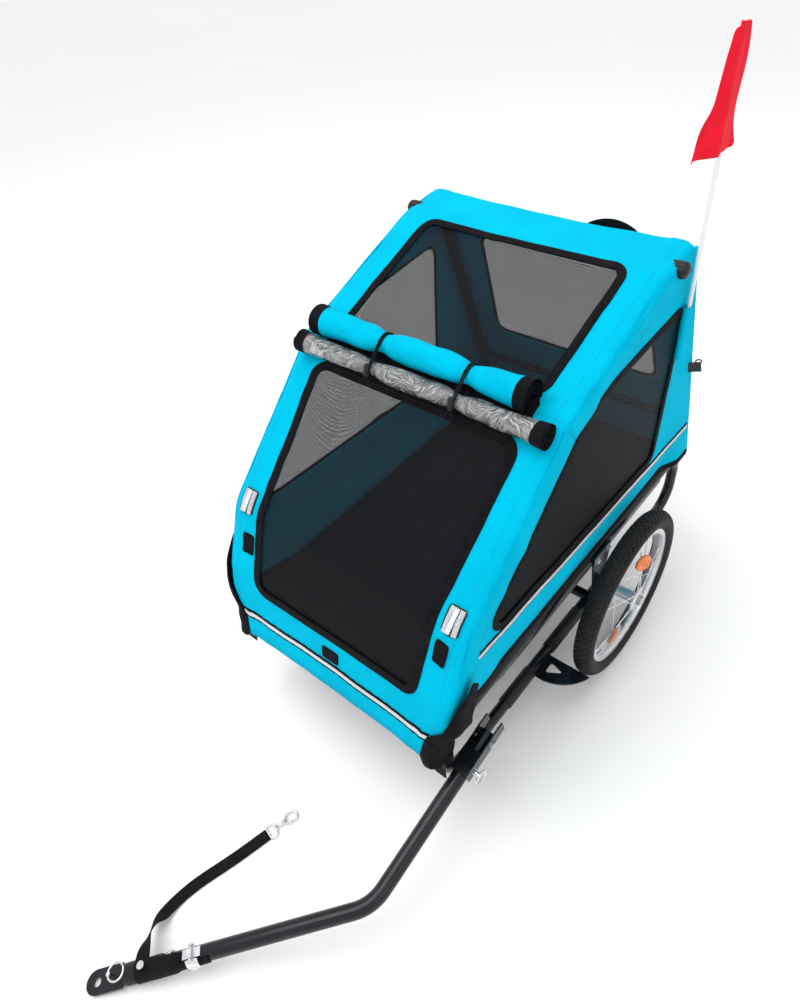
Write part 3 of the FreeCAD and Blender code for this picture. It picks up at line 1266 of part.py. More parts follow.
def make_front_reflectors():
    """Prismatic reflectors on the front panel, beside the door."""
    y, z = between(BROW, SEAM, v.front_reflector_up)
    slope = math.degrees(math.atan2(SEAM[1] - BROW[1], SEAM[0] - BROW[0]))
    w, h, t = v.front_reflector_width, v.front_reflector_height, v.front_reflector_depth
    lenses = []
    for sign in (1, -1):
        lens = Part.makeBox(w, h, t, Vector(-w / 2, -h / 2, v.seat_gap))
        lens = lens.makeChamfer(t / 3, [e for e in lens.Edges if e.CenterOfMass.z > t])
        lens.Placement = Placement(Vector(sign * v.front_reflector_x, y, z), Rotation(Vector(1, 0, 0), slope))
        lenses.append(lens)
    node("front_reflectors", formed("front_reflectors", Part.makeCompound(lenses)))


def sleeve_slot():
    """Slot in the left side panel for the arm of the flag sleeve."""
    arm = v.sleeve_wall * 4
    low = v.sleeve_top_z - arm
    slack = v.sleeve_slot_slack
    corner = Vector(v.side_x - v.fabric, v.flag_y - arm / 2 - slack, low - slack)
    return Part.makeBox(3 * v.fabric, arm + 2 * slack, arm + 2 * slack, corner)


def make_flag():
    """Sleeve on an arm from the hoop's rear end, and the pole with its pennant."""
    inner = d.pole_radius + d.running_gap
    length = d.sleeve_top_z - d.sleeve_bottom_z
    arm = d.sleeve_wall * 4
    shell = cylinder("sleeve_shell", inner + d.sleeve_wall, length, d.flag_x, d.flag_y, d.sleeve_bottom_z)
    start = d.hoop_x + d.hoop_od / 2 + d.running_gap
    reach = block("sleeve_arm", d.flag_x - start, arm, arm, start, d.flag_y - arm / 2, d.sleeve_top_z - arm)
    bore = cylinder("sleeve_bore", inner, length, d.flag_x, d.flag_y, d.sleeve_bottom_z + d.sleeve_wall)
    node("flag_sleeve", cut("flag_sleeve", fused("sleeve_body", shell, reach), bore))
    foot = d.sleeve_bottom_z + d.sleeve_wall + d.seat_gap
    node("flag_pole", cylinder("flag_pole_rod", d.pole_radius, d.pole_top_z - foot, d.flag_x, d.flag_y, foot))
    front = v.flag_y - v.pole_radius - v.seat_gap
    top, low = v.pole_top_z, v.pole_top_z - v.pennant_height
    corners = [Vector(v.flag_x - v.pennant_thickness / 2, y, z) for y, z in (
        (front, top), (front, low + v.pennant_height * 0.12), (front - v.pennant_reach, low), (front, top))]
    cloth = Part.Face(Part.makePolygon(corners)).extrude(Vector(v.pennant_thickness, 0, 0))
    node("flag_pennant", formed("flag_pennant", cloth))


SIDES = (("left", 1), ("right", -1))


def build():
    for side, sign in SIDES:
        make_wheel(side, sign)
        make_side_loop(side, sign)
        make_axle_bracket(side, sign)
        make_guard(side, sign)
        make_side_panel(side, sign)
        make_hoop(side, sign)
    node("wheel_axles", grouped("wheel_axles", *[make_axle(side, sign) for side, sign in SIDES]))
    make_rail_skirts()
    make_cross_tubes()
    make_floor()
    make_channel()
    make_pivot_bolt()
    make_bar_tube()
    make_lock_pin()
    make_hitch_tab()
    make_hitch_pin()
    make_collar()
    make_tether_ring(make_ring_plate())
    make_snap_hook(make_strap(make_strap_bolt()))
    make_front_panel()
    make_front_door()
    make_roof()
    make_rear()
    make_hoop_bars()
    make_posts()
    make_hinges()
    make_knobs()
    make_rolls()
    make_front_reflectors()
    make_flag()
    doc.recompute()


def check():
    for obj in doc.Objects:
        if "Invalid" in obj.State or "Error" in obj.State:
            raise RuntimeError(f"{obj.Label} failed: {obj.State}")
    for obj in NODES:
        if obj.Shape.isNull() or not obj.Shape.isValid() or not obj.Shape.Solids:
            raise RuntimeError(f"{obj.Label} has no sound solid")


def export():
    os.makedirs("parts", exist_ok=True)
    for obj in NODES:
        obj.Shape.exportStep(f"parts/{obj.Label}.step")


build()
check()
export()
print(len(NODES), "nodes")
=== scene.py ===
"""Dresses the dog trailer's frame: cabin fabric, mesh windows, covers, wheels, strap and studio."""
import json
from math import atan2, copysign, cos, exp, pi, radians, sin, sqrt, tan

import bmesh
import bpy
import numpy as np
from mathutils import Matrix, Vector, noise
from mathutils.geometry import delaunay_2d_cdt


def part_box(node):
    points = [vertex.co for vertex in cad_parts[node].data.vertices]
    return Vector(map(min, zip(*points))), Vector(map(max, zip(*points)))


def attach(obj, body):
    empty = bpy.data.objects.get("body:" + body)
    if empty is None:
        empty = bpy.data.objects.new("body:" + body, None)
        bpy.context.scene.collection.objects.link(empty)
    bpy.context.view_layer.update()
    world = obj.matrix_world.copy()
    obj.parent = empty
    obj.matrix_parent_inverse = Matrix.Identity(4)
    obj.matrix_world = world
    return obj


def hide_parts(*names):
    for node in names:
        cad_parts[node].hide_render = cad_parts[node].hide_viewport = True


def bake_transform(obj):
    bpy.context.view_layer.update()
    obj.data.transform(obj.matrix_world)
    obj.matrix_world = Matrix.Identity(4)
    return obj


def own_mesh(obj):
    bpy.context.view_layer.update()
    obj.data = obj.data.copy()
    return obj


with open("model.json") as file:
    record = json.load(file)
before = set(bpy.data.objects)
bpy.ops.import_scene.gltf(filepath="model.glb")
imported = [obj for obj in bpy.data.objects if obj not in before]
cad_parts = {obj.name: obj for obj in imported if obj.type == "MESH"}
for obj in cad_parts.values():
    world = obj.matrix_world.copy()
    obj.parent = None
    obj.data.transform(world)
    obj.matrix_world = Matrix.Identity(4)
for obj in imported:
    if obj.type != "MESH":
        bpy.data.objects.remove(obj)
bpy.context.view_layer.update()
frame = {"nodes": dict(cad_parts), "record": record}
JOINTS = {j["name"]: j for j in frame["record"]["behaviour"]["joints"]}
AXLE_Y = JOINTS["wheel_left_spin"]["pos_m"][1]
MM = 0.001
UP = Vector((0, 0, 1))
SIDES = (("left", 1), ("right", -1))
SIGNS = (1, -1)


def at(x, y, z):
    """A point in metres, from millimetres measured from the ground under the axle."""
    return Vector((x * MM, y * MM + AXLE_Y, z * MM))


# Camera, at the photograph's place and angle

CAMERA_SPOT = (708.1, -1034.2, 1492.5)
CAMERA_AZIMUTH, CAMERA_ELEVATION, CAMERA_ROLL = (radians(a) for a in (44.58, 43.12, -7.14))
CAMERA_LENS = 26.27


def make_camera():
    data = bpy.data.cameras.new("camera")
    data.lens = CAMERA_LENS
    data.sensor_width = 36
    camera = bpy.data.objects.new("camera", data)
    bpy.context.collection.objects.link(camera)
    level = cos(CAMERA_ELEVATION)
    ahead = Vector((
        -sin(CAMERA_AZIMUTH) * level, cos(CAMERA_AZIMUTH) * level, -sin(CAMERA_ELEVATION)))
    flat_right = ahead.cross(UP).normalized()
    flat_up = flat_right.cross(ahead)
    tilt, keep = sin(CAMERA_ROLL), cos(CAMERA_ROLL)
    right = flat_right * keep + flat_up * tilt
    up = flat_up * keep - flat_right * tilt
    axes = Matrix((right, up, -ahead)).transposed()
    camera.matrix_world = Matrix.Translation(at(*CAMERA_SPOT)) @ axes.to_4x4()
    bpy.context.scene.camera = camera


make_camera()


# Materials

class Look:
    """A principled material whose nodes are added by short calls."""

    def __init__(self, name, colour, rough, **sockets):
        self.mat = bpy.data.materials.new(name)
        self.mat.use_nodes = True
        self.nodes = self.mat.node_tree.nodes
        self.links = self.mat.node_tree.links
        self.shader = self.nodes["Principled BSDF"]
        self.shader.inputs["Base Color"].default_value = (*colour, 1)
        self.shader.inputs["Roughness"].default_value = rough
        self.colour = colour
        self.relief = None
        for key, value in sockets.items():
            self.shader.inputs[key.replace("_", " ")].default_value = value

    def add(self, kind, settings=None, **values):
        node = self.nodes.new("ShaderNode" + kind)
        for key, value in (settings or {}).items():
            setattr(node, key, value)
        for key, value in values.items():
            node.inputs[key].default_value = value
        return node

    def feed(self, socket, output):
        self.links.new(output, self.shader.inputs[socket])
        return self

    def place(self, cloth, along=1.0, across=1.0):
        """Coordinates in metres: the sheet's own for cloth, the object's otherwise."""
        coords = self.add("TexCoord")
        mapping = self.add("Mapping", Scale=(along, across, 1.0))
        self.links.new(coords.outputs["UV" if cloth else "Object"], mapping.inputs["Vector"])
        return mapping.outputs["Vector"]

    def texture(self, kind, place, output="Fac", settings=None, **values):
        node = self.add(kind, settings, **values)
        self.links.new(place, node.inputs["Vector"])
        return node.outputs[output]

    def noise(self, scale, cloth=False, detail=3.0):
        return self.texture("TexNoise", self.place(cloth), Scale=scale, Detail=detail)

    def cells(self, scale):
        return self.texture("TexVoronoi", self.place(False), "Distance", Scale=scale)

    def ramp(self, factor, low, high, start=0.3, end=0.7):
        node = self.add("ValToRGB")
        for stop, place, value in zip(node.color_ramp.elements, (start, end), (low, high)):
            stop.position = place
            stop.color = (*value, 1) if hasattr(value, "__len__") else (value, value, value, 1)
        self.links.new(factor, node.inputs["Fac"])
        return node.outputs["Color"]

    def mottle(self, scale, spread, cloth=False):
        """Soft changes of shade over the surface."""
        low = [c * (1 - spread) for c in self.colour]
        high = [min(1, c * (1 + spread)) for c in self.colour]
        return self.feed("Base Color", self.ramp(self.noise(scale, cloth), low, high))

    def streaks(self, along, across, low, high):
        """Painted highlights: near-white streaks on darker film, standing in for light reflected off the
        crumpled film's folds; longer along the sheet than across it.
        """
        place = self.place(True, along, across)
        glint_pattern = self.texture("TexNoise", place, Scale=1.0, Detail=4.0, Distortion=1.2)
        return self.feed("Base Color", self.ramp(glint_pattern, low, high, start=0.46, end=0.62))

    def facets(self, scale, spread):
        """Cells of lighter and darker shade, as in a prismatic lens."""
        low = [c * (1 - spread) for c in self.colour]
        height = self.cells(scale)
        self.feed("Base Color", self.ramp(height, low, self.colour, start=0.1, end=0.6))
        return self.bump(height, 0.6, 0.001)

    def roughen(self, scale, low, high):
        return self.feed("Roughness", self.ramp(self.noise(scale), low, high))

    def bump(self, height, strength, distance):
        node = self.add("Bump", Strength=strength, Distance=distance)
        self.links.new(height, node.inputs["Height"])
        if self.relief:
            self.links.new(self.relief, node.inputs["Normal"])
        self.relief = node.outputs["Normal"]
        return self.feed("Normal", self.relief)

    def grain(self, scale, strength, distance=0.0005, cloth=False):
        return self.bump(self.noise(scale, cloth, 6.0), strength, distance)

    def bands(self, period, axis):
        """Threads a period apart along one axis of the sheet."""
        scale = pi * 0.1 / period
        place = self.place(True, scale, scale)
        return self.texture("TexWave", place, settings={"bands_direction": axis}, Scale=1.0)

    def crossed(self, period):
        node = self.add("Math", {"operation": "MULTIPLY"})
        for socket, axis in zip(node.inputs, "XY"):
            self.links.new(self.bands(period, axis), socket)
        return node.outputs["Value"]

    def weave(self, period, strength):
        return self.bump(self.crossed(period), strength, period * 0.25)

    def net(self, period, hole_from):
        """See-through holes between the threads of a mesh."""
        thread = self.add("Math", {"operation": "LESS_THAN"})
        self.links.new(self.crossed(period), thread.inputs[0])
        thread.inputs[1].default_value = hole_from
        return self.feed("Alpha", thread.outputs["Value"])


CLOTH = {"Sheen_Weight": 0.01, "Sheen_Roughness": 0.4, "Specular_IOR_Level": 0.05}
FABRIC = {"Specular_IOR_Level": 0.02}
DULL = {"Specular_IOR_Level": 0.12}
SOFT = {"Specular_IOR_Level": 0.25}
SATIN = {"Specular_IOR_Level": 0.3}
GLOSS = {"Coat_Weight": 0.08, "Specular_IOR_Level": 0.3}
CLEAR = {"Alpha": 0.3, "Specular_IOR_Level": 1.0, "Coat_Weight": 1.0}
METAL = {"Metallic": 1.0}
LENS = {"Coat_Weight": 0.8, "Coat_Roughness": 0.05}
LOOKS = {
    "blue": Look("cabin_fabric", (0.0, 0.455, 0.67), 0.75, **FABRIC).mottle(9, 0.07, True).weave(0.0011, 0.4)
    .grain(26, 0.5, 0.006, True),
    "net": Look("window_net", (0.006, 0.007, 0.009), 0.6, **DULL).net(0.0012, 0.27),
    "tape": Look("binding_tape", (0.007, 0.007, 0.009), 0.7, **CLOTH).mottle(40, 0.3).weave(0.0016, 0.8),
    "webbing": Look("woven_webbing", (0.011, 0.011, 0.012), 0.6, **CLOTH).mottle(60, 0.3).weave(0.0024, 1.0),
    "hook": Look("hook_tape", (0.006, 0.006, 0.007), 0.95, **DULL).mottle(300, 0.5).grain(900, 1.0, 0.001),
    "zip": Look("zip_teeth", (0.02, 0.02, 0.022), 0.35).mottle(80, 0.3).grain(300, 0.1),
    "thread": Look("stitch_thread", (0.01, 0.36, 0.6), 0.6, **CLOTH).mottle(200, 0.2),
    "strip": Look("reflective_tape", (0.66, 0.68, 0.7), 0.35, Metallic=0.2).facets(700, 0.12),
    "paint": Look("gloss_paint", (0.006, 0.008, 0.011), 0.2, **GLOSS).mottle(14, 0.4).roughen(30, 0.14, 0.28),
    # the strips under the rails: their grey, lighter than the black frame, is partly painted reflection of
    # the white floor along the underside of the rail tubes
    "skirt": Look("satin_strip_with_painted_reflection", (0.06, 0.058, 0.075), 0.4, Metallic=0.4).mottle(12, 0.15)
    .roughen(40, 0.32, 0.48),
    "plastic": Look("moulded_plastic", (0.01, 0.01, 0.011), 0.45, **SATIN).mottle(50, 0.3).grain(700, 0.25),
    "rubber": Look("tyre_rubber", (0.012, 0.012, 0.013), 0.7, **SOFT).mottle(25, 0.35).grain(350, 0.4),
    "steel": Look("zinc_steel", (0.55, 0.56, 0.58), 0.32, **METAL).mottle(90, 0.15).roughen(70, 0.25, 0.42),
    "chrome": Look("bright_chrome", (0.78, 0.79, 0.8), 0.12, **METAL).mottle(30, 0.06)
    .roughen(60, 0.08, 0.18),
    "alloy": Look("satin_alloy", (0.66, 0.67, 0.69), 0.35, **METAL).mottle(20, 0.08).roughen(50, 0.28, 0.42),
    "orange": Look("orange_lens", (0.85, 0.2, 0.01), 0.18, **LENS).facets(260, 0.5),
    "silver": Look("clear_lens", (0.72, 0.74, 0.76), 0.15, Metallic=0.3, **LENS).facets(500, 0.2),
    # the clear film's colour carries painted highlights: near-white streaks that stand in for reflections on
    # its folds
    "vinyl": Look("clear_film", (0.42, 0.44, 0.46), 0.05, **CLEAR).streaks(34, 120, 0.1, 0.95)
    .grain(70, 1.0, 0.012),
    "elastic": Look("elastic_cord", (0.011, 0.011, 0.012), 0.7, **CLOTH).mottle(90, 0.4).grain(900, 0.6),
    "pole": Look("white_pole", (0.8, 0.8, 0.79), 0.35).mottle(30, 0.05).grain(200, 0.1),
    "red": Look("pennant_cloth", (0.8, 0.01, 0.03), 0.6, **CLOTH).mottle(25, 0.12, True).weave(0.0012, 0.5),
    "mat": Look("floor_mat", (0.008, 0.008, 0.01), 0.85, **DULL).mottle(20, 0.3).grain(240, 0.6, 0.001),
    "stage": Look("studio_floor", (0.97, 0.97, 0.97), 0.9).mottle(0.8, 0.01),
}


# Lines and shapes

def rounded(points, radii, closed=False):
    """A polyline whose corners are arcs."""
    spots = [Vector(p) for p in points]
    last = len(spots) - 1
    out = []
    for i, corner in enumerate(spots):
        inner = closed or 0 < i < last
        radius = radii[i if closed else i - 1] if inner else 0
        before = (spots[i - 1] - corner).normalized()
        after = (spots[(i + 1) % len(spots)] - corner).normalized()
        turn = pi - before.angle(after) if inner else 0
        if radius <= 0 or turn < 0.01:
            out.append(corner)
            continue
        centre = corner + (before + after).normalized() * (radius / cos(turn / 2))
        start = corner + before * radius * tan(turn / 2) - centre
        end = corner + after * radius * tan(turn / 2) - centre
        first = atan2(start.y, start.x)
        sweep = (atan2(end.y, end.x) - first + pi) % (2 * pi) - pi
        steps = max(3, int(turn / 0.12))
        for k in range(steps + 1):
            a = first + sweep * k / steps
            out.append(centre + Vector((cos(a), sin(a))) * radius)
    return out


class Line:
    """A plane polyline measured by the distance along it."""

    def __init__(self, points):
        self.points = points
        self.marks = [0.0]
        for a, b in zip(points, points[1:]):
            self.marks.append(self.marks[-1] + (b - a).length)
        self.length = self.marks[-1]

    def spot(self, s):
        i = min(max(int(np.searchsorted(self.marks, s)) - 1, 0), len(self.points) - 2)
        share = (s - self.marks[i]) / max(self.marks[i + 1] - self.marks[i], 1e-9)
        return self.points[i].lerp(self.points[i + 1], share)

    def run(self, s, reach=5.0):
        return (self.spot(s + reach) - self.spot(s - reach)).normalized()

    def find(self, axis, value):
        """The first distance at which a coordinate rises past a value."""
        for i in range(1, len(self.points)):
            if self.points[i][axis] >= value > self.points[i - 1][axis]:
                share = (value - self.points[i - 1][axis]) / (self.points[i][axis] - self.points[i - 1][axis])
                return self.marks[i - 1] + share * (self.marks[i] - self.marks[i - 1])
        raise ValueError(value)


def resample(points, step, closed=True):
    """Points about a step apart along a polyline."""
    points = [Vector(p) for p in points]
    line = Line([*points, points[0]] if closed else points)
    count = max(3, round(line.length / step))
    return [line.spot(line.length * k / count) for k in range(count + (not closed))]


def inside(spots, loop):
    """Which spots lie within a closed loop."""
    x, y = spots[:, 0][:, None], spots[:, 1][:, None]
    a, b = loop, np.roll(loop, -1, axis=0)
    crosses = (a[:, 1] > y) != (b[:, 1] > y)
    rise = np.where(b[:, 1] == a[:, 1], 1e-12, b[:, 1] - a[:, 1])
    edge = (b[:, 0] - a[:, 0]) * (y - a[:, 1]) / rise + a[:, 0]
    return ((crosses & (x < edge)).sum(axis=1) % 2).astype(bool)


def turns(count):
    """Angles that share a full turn evenly."""
    return [2 * pi * k / count for k in range(count)]


def headings(points, closed=False):
    """The direction of the run at each point."""
    count = len(points)
    ways = []
    for i in range(count):
        before = points[i - 1] if closed or i else points[0]
        after = points[(i + 1) % count] if closed or i < count - 1 else points[-1]
        ways.append((after - before).normalized())
    return ways


def frames(points, closed=False):
    """Each point with two directions across the run, carried along without twist."""
    ahead = headings(points, closed)
    seed = UP if abs(ahead[0].z) < 0.9 else Vector((1, 0, 0))
    across = ahead[0].cross(seed).normalized()
    out = []
    for point, way in zip(points, ahead):
        across = (across - way * across.dot(way)).normalized()
        out.append((point, across, way.cross(across)))
    return out


# Webbing's points across it, its stitches, the lattice of a sheet, and the wave along a band's edge
WEBBING = (-12, -11, 11, 12)
STITCH_PITCH, STITCH_R, STITCH_DASH = 6.0, 0.45, (0.1, 0.68)
ROW_SHIFT, ROW_PITCH, RIM_CLEAR, WAVE_RATE = 0.4, 0.87, 0.55, 0.42


class Shape:
    """Collects the faces of one piece, with a material and sheet coordinates for each."""

    def __init__(self):
        self.verts, self.uvs, self.faces, self.mats = [], [], [], []

    def grid(self, rows, ring=False, loop=False, uvs=None, caps=False):
        """Quads between rows of points; ring closes each row, loop joins the last row to the first."""
        base, count = len(self.verts), len(rows[0])
        for r, row in enumerate(rows):
            self.verts += row
            self.uvs += uvs[r] if uvs else [(0.0, 0.0)] * count
        for r in range(len(rows) if loop else len(rows) - 1):
            here, there = base + r * count, base + (r + 1) % len(rows) * count
            for c in range(count if ring else count - 1):
                d = (c + 1) % count
                self.fill((here + c, here + d, there + d, there + c))
        for first in (base, len(self.verts) - count) if caps else ():
            self.fill(range(first, first + count))
        return self

    def fill(self, indices):
        self.faces.append(tuple(indices))
        self.mats.append(0)

    def webbing(self, rows, pitch):
        """A strip of webbing whose rows lie a pitch apart."""
        uvs = [[(k * pitch * MM, w * MM) for w in WEBBING] for k in range(len(rows))]
        return self.grid(rows, uvs=uvs)

    def lathe(self, profile, origin, axis, steps=48, closed=False):
        """Turns (along, radius) points in millimetres about an axis."""
        axis = axis.normalized()
        side = axis.orthogonal().normalized()
        other = axis.cross(side)
        rows = []
        for a in turns(steps):
            out = side * cos(a) + other * sin(a)
            rows.append([origin + (axis * along + out * radius) * MM for along, radius in profile])
        return self.grid(rows, ring=closed, loop=True)

    def tube(self, points, radius, sides=10, closed=False):
        """A round bar; its radius is a number, or a function of the share of its length."""
        rows = []
        for i, (point, across, up) in enumerate(frames(points, closed)):
            r = (radius(i / (len(points) - 1)) if callable(radius) else radius) * MM
            rows.append([point + (across * cos(a) + up * sin(a)) * r for a in turns(sides)])
        return self.grid(rows, ring=True, loop=closed, caps=not closed)

    def block(self, centre, across, along, up, top=1.0):
        """A box given by three half lengths as directions; its upper face may be smaller."""
        base = len(self.verts)
        for h, share in ((-1, 1.0), (1, top)):
            for a, b in ((-1, -1), (1, -1), (1, 1), (-1, 1)):
                self.verts.append(centre + across * a * share + along * b * share + up * h)
                self.uvs.append((0.0, 0.0))
        for ring in ((3, 2, 1, 0), (4, 5, 6, 7), (0, 1, 5, 4), (1, 2, 6, 5), (2, 3, 7, 6), (3, 0, 4, 7)):
            self.fill([base + i for i in ring])

    def band(self, path, place, section, closed=True, step=9, wave=0.0):
        """A ribbon sewn along a path on a sheet; section lists (offset, height) across it."""
        spots = resample(path, step, closed)
        rows, uvs = [], []
        for i, (spot, way) in enumerate(zip(spots, headings(spots, closed))):
            left = Vector((-way.y, way.x))
            sway = wave * sin(i * step * WAVE_RATE)
            edge = [spot + left * (offset + sway) for offset, height in section]
            rows.append([place(e.x, e.y, height) for e, (offset, height) in zip(edge, section)])
            uvs.append([(i * step * MM, offset * MM) for offset, height in section])
        return self.grid(rows, loop=closed, uvs=uvs)

    def stitches(self, start, end, place, height=0.4):
        """Thread showing as short dashes along a seam."""
        spots = resample([start, end], STITCH_PITCH, False)
        for a, b in zip(spots, spots[1:]):
            self.tube([place(*a.lerp(b, share), height) for share in STITCH_DASH], STITCH_R, 5)

    def sheet(self, loops, place, step, height=0.0):
        """A sheet inside the first loop and outside the others."""
        loops = [resample(loop, step) for loop in loops]
        spots, edges = [], []
        for loop in loops:
            first = len(spots)
            spots += loop
            edges += [(first + i, first + (i + 1) % len(loop)) for i in range(len(loop))]
        rims = [np.array([tuple(p) for p in loop]) for loop in loops]
        low, high = rims[0].min(axis=0), rims[0].max(axis=0)
        columns = np.arange(low[0], high[0] + step, step)
        lattice = []
        for row, v in enumerate(np.arange(low[1] + step * ROW_SHIFT, high[1], step * ROW_PITCH)):
            lattice += [(u + (row % 2) * step / 2, v) for u in columns]
        lattice = np.array(lattice)

        def within(points):
            keep = inside(points, rims[0])
            for rim in rims[1:]:
                keep &= ~inside(points, rim)
            return keep

        rim_spots = np.concatenate(rims)
        lattice = lattice[within(lattice)]
        near = np.array([np.min(np.hypot(*(rim_spots - p).T)) for p in lattice])
        spots += [Vector(p) for p in lattice[near > RIM_CLEAR * step]]
        flat, _, tris, *_ = delaunay_2d_cdt(spots, edges, [], 0, 1e-4)
        middles = np.array([np.mean([flat[i] for i in t], axis=0) for t in tris])
        keep = within(middles)
        base = len(self.verts)
        self.verts += [place(p.x, p.y, height) for p in flat]
        self.uvs += [(p.x * MM, p.y * MM) for p in flat]
        tris = [t for t, inner in zip(tris, keep) if inner]
        a, b, c = (self.verts[base + i] for i in tris[0])
        outward = place(*flat[tris[0][0]], 1.0) - place(*flat[tris[0][0]], 0.0)
        flip = (b - a).cross(c - a).dot(outward) < 0
        for t in tris:
            self.fill([base + i for i in (reversed(t) if flip else t)])
        return self

    def area(self):
        total = 0.0
        for face in self.faces:
            points = [self.verts[i] for i in face]
            for b, c in zip(points[1:], points[2:]):
                total += (b - points[0]).cross(c - points[0]).length / 2
        return total

    def piece(self, name, looks, body, replaces=(), slot=None, thick=0.0, solid=False, bevel=0.0, sharp=40,
              folds=False, bends=False):
        """Makes the object, with its looks and edges, its body and the nodes that it replaces; its slot
        argument is not used.
        """
        mesh = bpy.data.meshes.new(name)
        mesh.from_pydata([tuple(p) for p in self.verts], [], self.faces)
        looks = looks.split()
        for look in looks:
            mesh.materials.append(LOOKS[look].mat)
        layer = mesh.uv_layers.new(name="sheet")
        for face, mat in zip(mesh.polygons, self.mats):
            face.material_index = mat
            face.use_smooth = True
            for corner in face.loop_indices:
                layer.data[corner].uv = self.uvs[mesh.loops[corner].vertex_index]
        if solid:
            work = bmesh.new()
            work.from_mesh(mesh)
            bmesh.ops.recalc_face_normals(work, faces=work.faces)
            work.to_mesh(mesh)
            work.free()
        mesh.set_sharp_from_angle(angle=radians(sharp))
        obj = bpy.data.objects.new(name, mesh)
        bpy.context.collection.objects.link(obj)
        if thick:
            modifier = obj.modifiers.new("thickness", "SOLIDIFY")
            modifier.thickness = thick * MM
            modifier.offset = -1
        if bevel:
            modifier = obj.modifiers.new("edges", "BEVEL")
            modifier.width = bevel * MM
            modifier.segments = 2
            modifier.limit_method = "ANGLE"
        if bends:
            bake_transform(obj)
        else:
            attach(obj, body)
        if replaces:
            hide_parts(*replaces)
        if folds:
            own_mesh(obj)
        return obj


# Strap and its hook

STRAP_ROUTE = (
    (9.02, -1121.04, 49.06), (-14, -1098, 47), (-34, -1074, 26), (-46, -1040, 7), (-46, -1004, 2.4),
    (-39, -968, 2.4), (-28, -932, 2.4), (-17, -896, 2.4), (-7, -858, 2.4), (2, -820, 2.4),
)
STRAP_WIDTH, STRAP_THICKNESS = 25, 2
TWIST, TWIST_END = radians(-64), 0.3


def route_points(route):
    """Points along a smooth curve whose control points are the route's."""
    curve = bpy.data.curves.new("route", "CURVE")
    curve.dimensions = "3D"
    curve.resolution_u = 12
    spline = curve.splines.new("NURBS")
    spline.points.add(len(route) - 1)
    for point, spot in zip(spline.points, route):
        point.co = (*at(*spot), 1)
    spline.order_u = 3
    spline.use_endpoint_u = True
    holder = bpy.data.objects.new("route", curve)
    bpy.context.collection.objects.link(holder)
    mesh = bpy.data.meshes.new_from_object(holder)
    points = [v.co.copy() for v in mesh.vertices]
    bpy.data.objects.remove(holder)
    bpy.data.meshes.remove(mesh)
    bpy.data.curves.remove(curve)
    return points


def make_strap():
    """Webbing with softened edges, which twists on its way to the ground."""
    path = route_points(STRAP_ROUTE)
    half, thin = STRAP_WIDTH * MM / 2, STRAP_THICKNESS * MM / 2
    edge = 0.9 * half
    ring = ((-half, 0), (-edge, thin), (0, thin), (edge, thin),
            (half, 0), (edge, -thin), (0, -thin), (-edge, -thin))
    rows, uvs = [], []
    length = 0.0
    for i, (point, way) in enumerate(zip(path, headings(path))):
        length += (point - path[max(i - 1, 0)]).length
        across = way.cross(UP).normalized()
        up = across.cross(way)
        share = min(1.0, i / (len(path) - 1) / TWIST_END)
        turn = Matrix.Rotation(TWIST * sin(pi * share) ** 2, 3, way)
        rows.append([point + turn @ (across * a + up * b) for a, b in ring])
        uvs.append([(length, a) for a, b in ring])
    shape = Shape().grid(rows, ring=True, uvs=uvs, caps=True)
    strap = shape.piece("safety_strap_webbing", "webbing", "drawbar", ["safety_strap"], solid=True, sharp=30)
    first, second, *_, before, last = (Vector(p) for p in STRAP_ROUTE)
    hook = make_hook(last, (last - before).normalized())
    end = make_strap_end(first, (second - first).normalized())


def make_hook(start, way):
    """Bolt snap: square eye, swivel barrel, bow, and a sliding bolt with its thumb knob."""
    across = Vector((way.y, -way.x, 0))
    level = 5.0

    def spot(along, side, lift=0.0):
        p = start + way * along + across * side
        return at(p.x, p.y, level + lift)

    shape = Shape()
    eye = rounded([(2, -14), (2, 14), (19, 14), (19, -14)], [3, 3, 6, 6], closed=True)
    shape.tube([spot(p.x, p.y) for p in resample(eye, 3)], 2.2, closed=True)
    axis = (spot(1, 0) - spot(0, 0)).normalized()
    barrel = ((18, 0), (18, 3.4), (21, 4.6), (24, 3.0), (26, 3.0), (27, 4.4), (42, 4.4), (44, 3.2), (44, 0))
    shape.lathe(barrel, spot(0, 0), axis, 24)
    bow = [(42, -2), (48, -9), (56, -12.5), (64, -10), (69, -3), (69, 4), (65, 9.5), (60, 11)]
    path = resample(rounded(bow, [8] * 6), 2, False)
    shape.tube([spot(p.x, p.y) for p in path], lambda share: 3.2 - 0.8 * share)
    shape.tube([spot(a, b) for a, b in ((38, 5.6), (50, 8.2), (60, 10.4))], 2.0, 8)
    knob = ((0, 0), (0, 1.5), (5, 1.5), (6, 3.0), (8, 3.0), (8.6, 0))
    shape.lathe(knob, spot(50, 8.4), (spot(50, 9.4) - spot(50, 8.4)), 12)
    return shape.piece("snap_hook_metal", "chrome", "drawbar", ["snap_hook"], solid=True)


def make_strap_end(start, way):
    """The strap's end with its hole, round the bolt."""
    across = way.cross(UP).normalized()
    up = across.cross(way)
    hole_at, hole_r = -4.6, 4.4

    def place(u, v, h=0.0):
        p = start + way * v + across * u + up * (h + 1)
        return at(p.x, p.y, p.z)

    half = STRAP_WIDTH / 2
    outline = rounded([(-half, 2), (half, 2), (half, -16), (-half, -16)], [0.5, 0.5, 9, 9], closed=True)
    hole = [(hole_r * cos(a), hole_at + hole_r * sin(a)) for a in np.arange(0, 6.2, 0.4)]
    shape = Shape().sheet([outline, hole], place, 2.5)
    return shape.piece("safety_strap_end", "webbing", "drawbar", thick=STRAP_THICKNESS)


make_strap()


# Surfaces that the cabin's pieces lie on

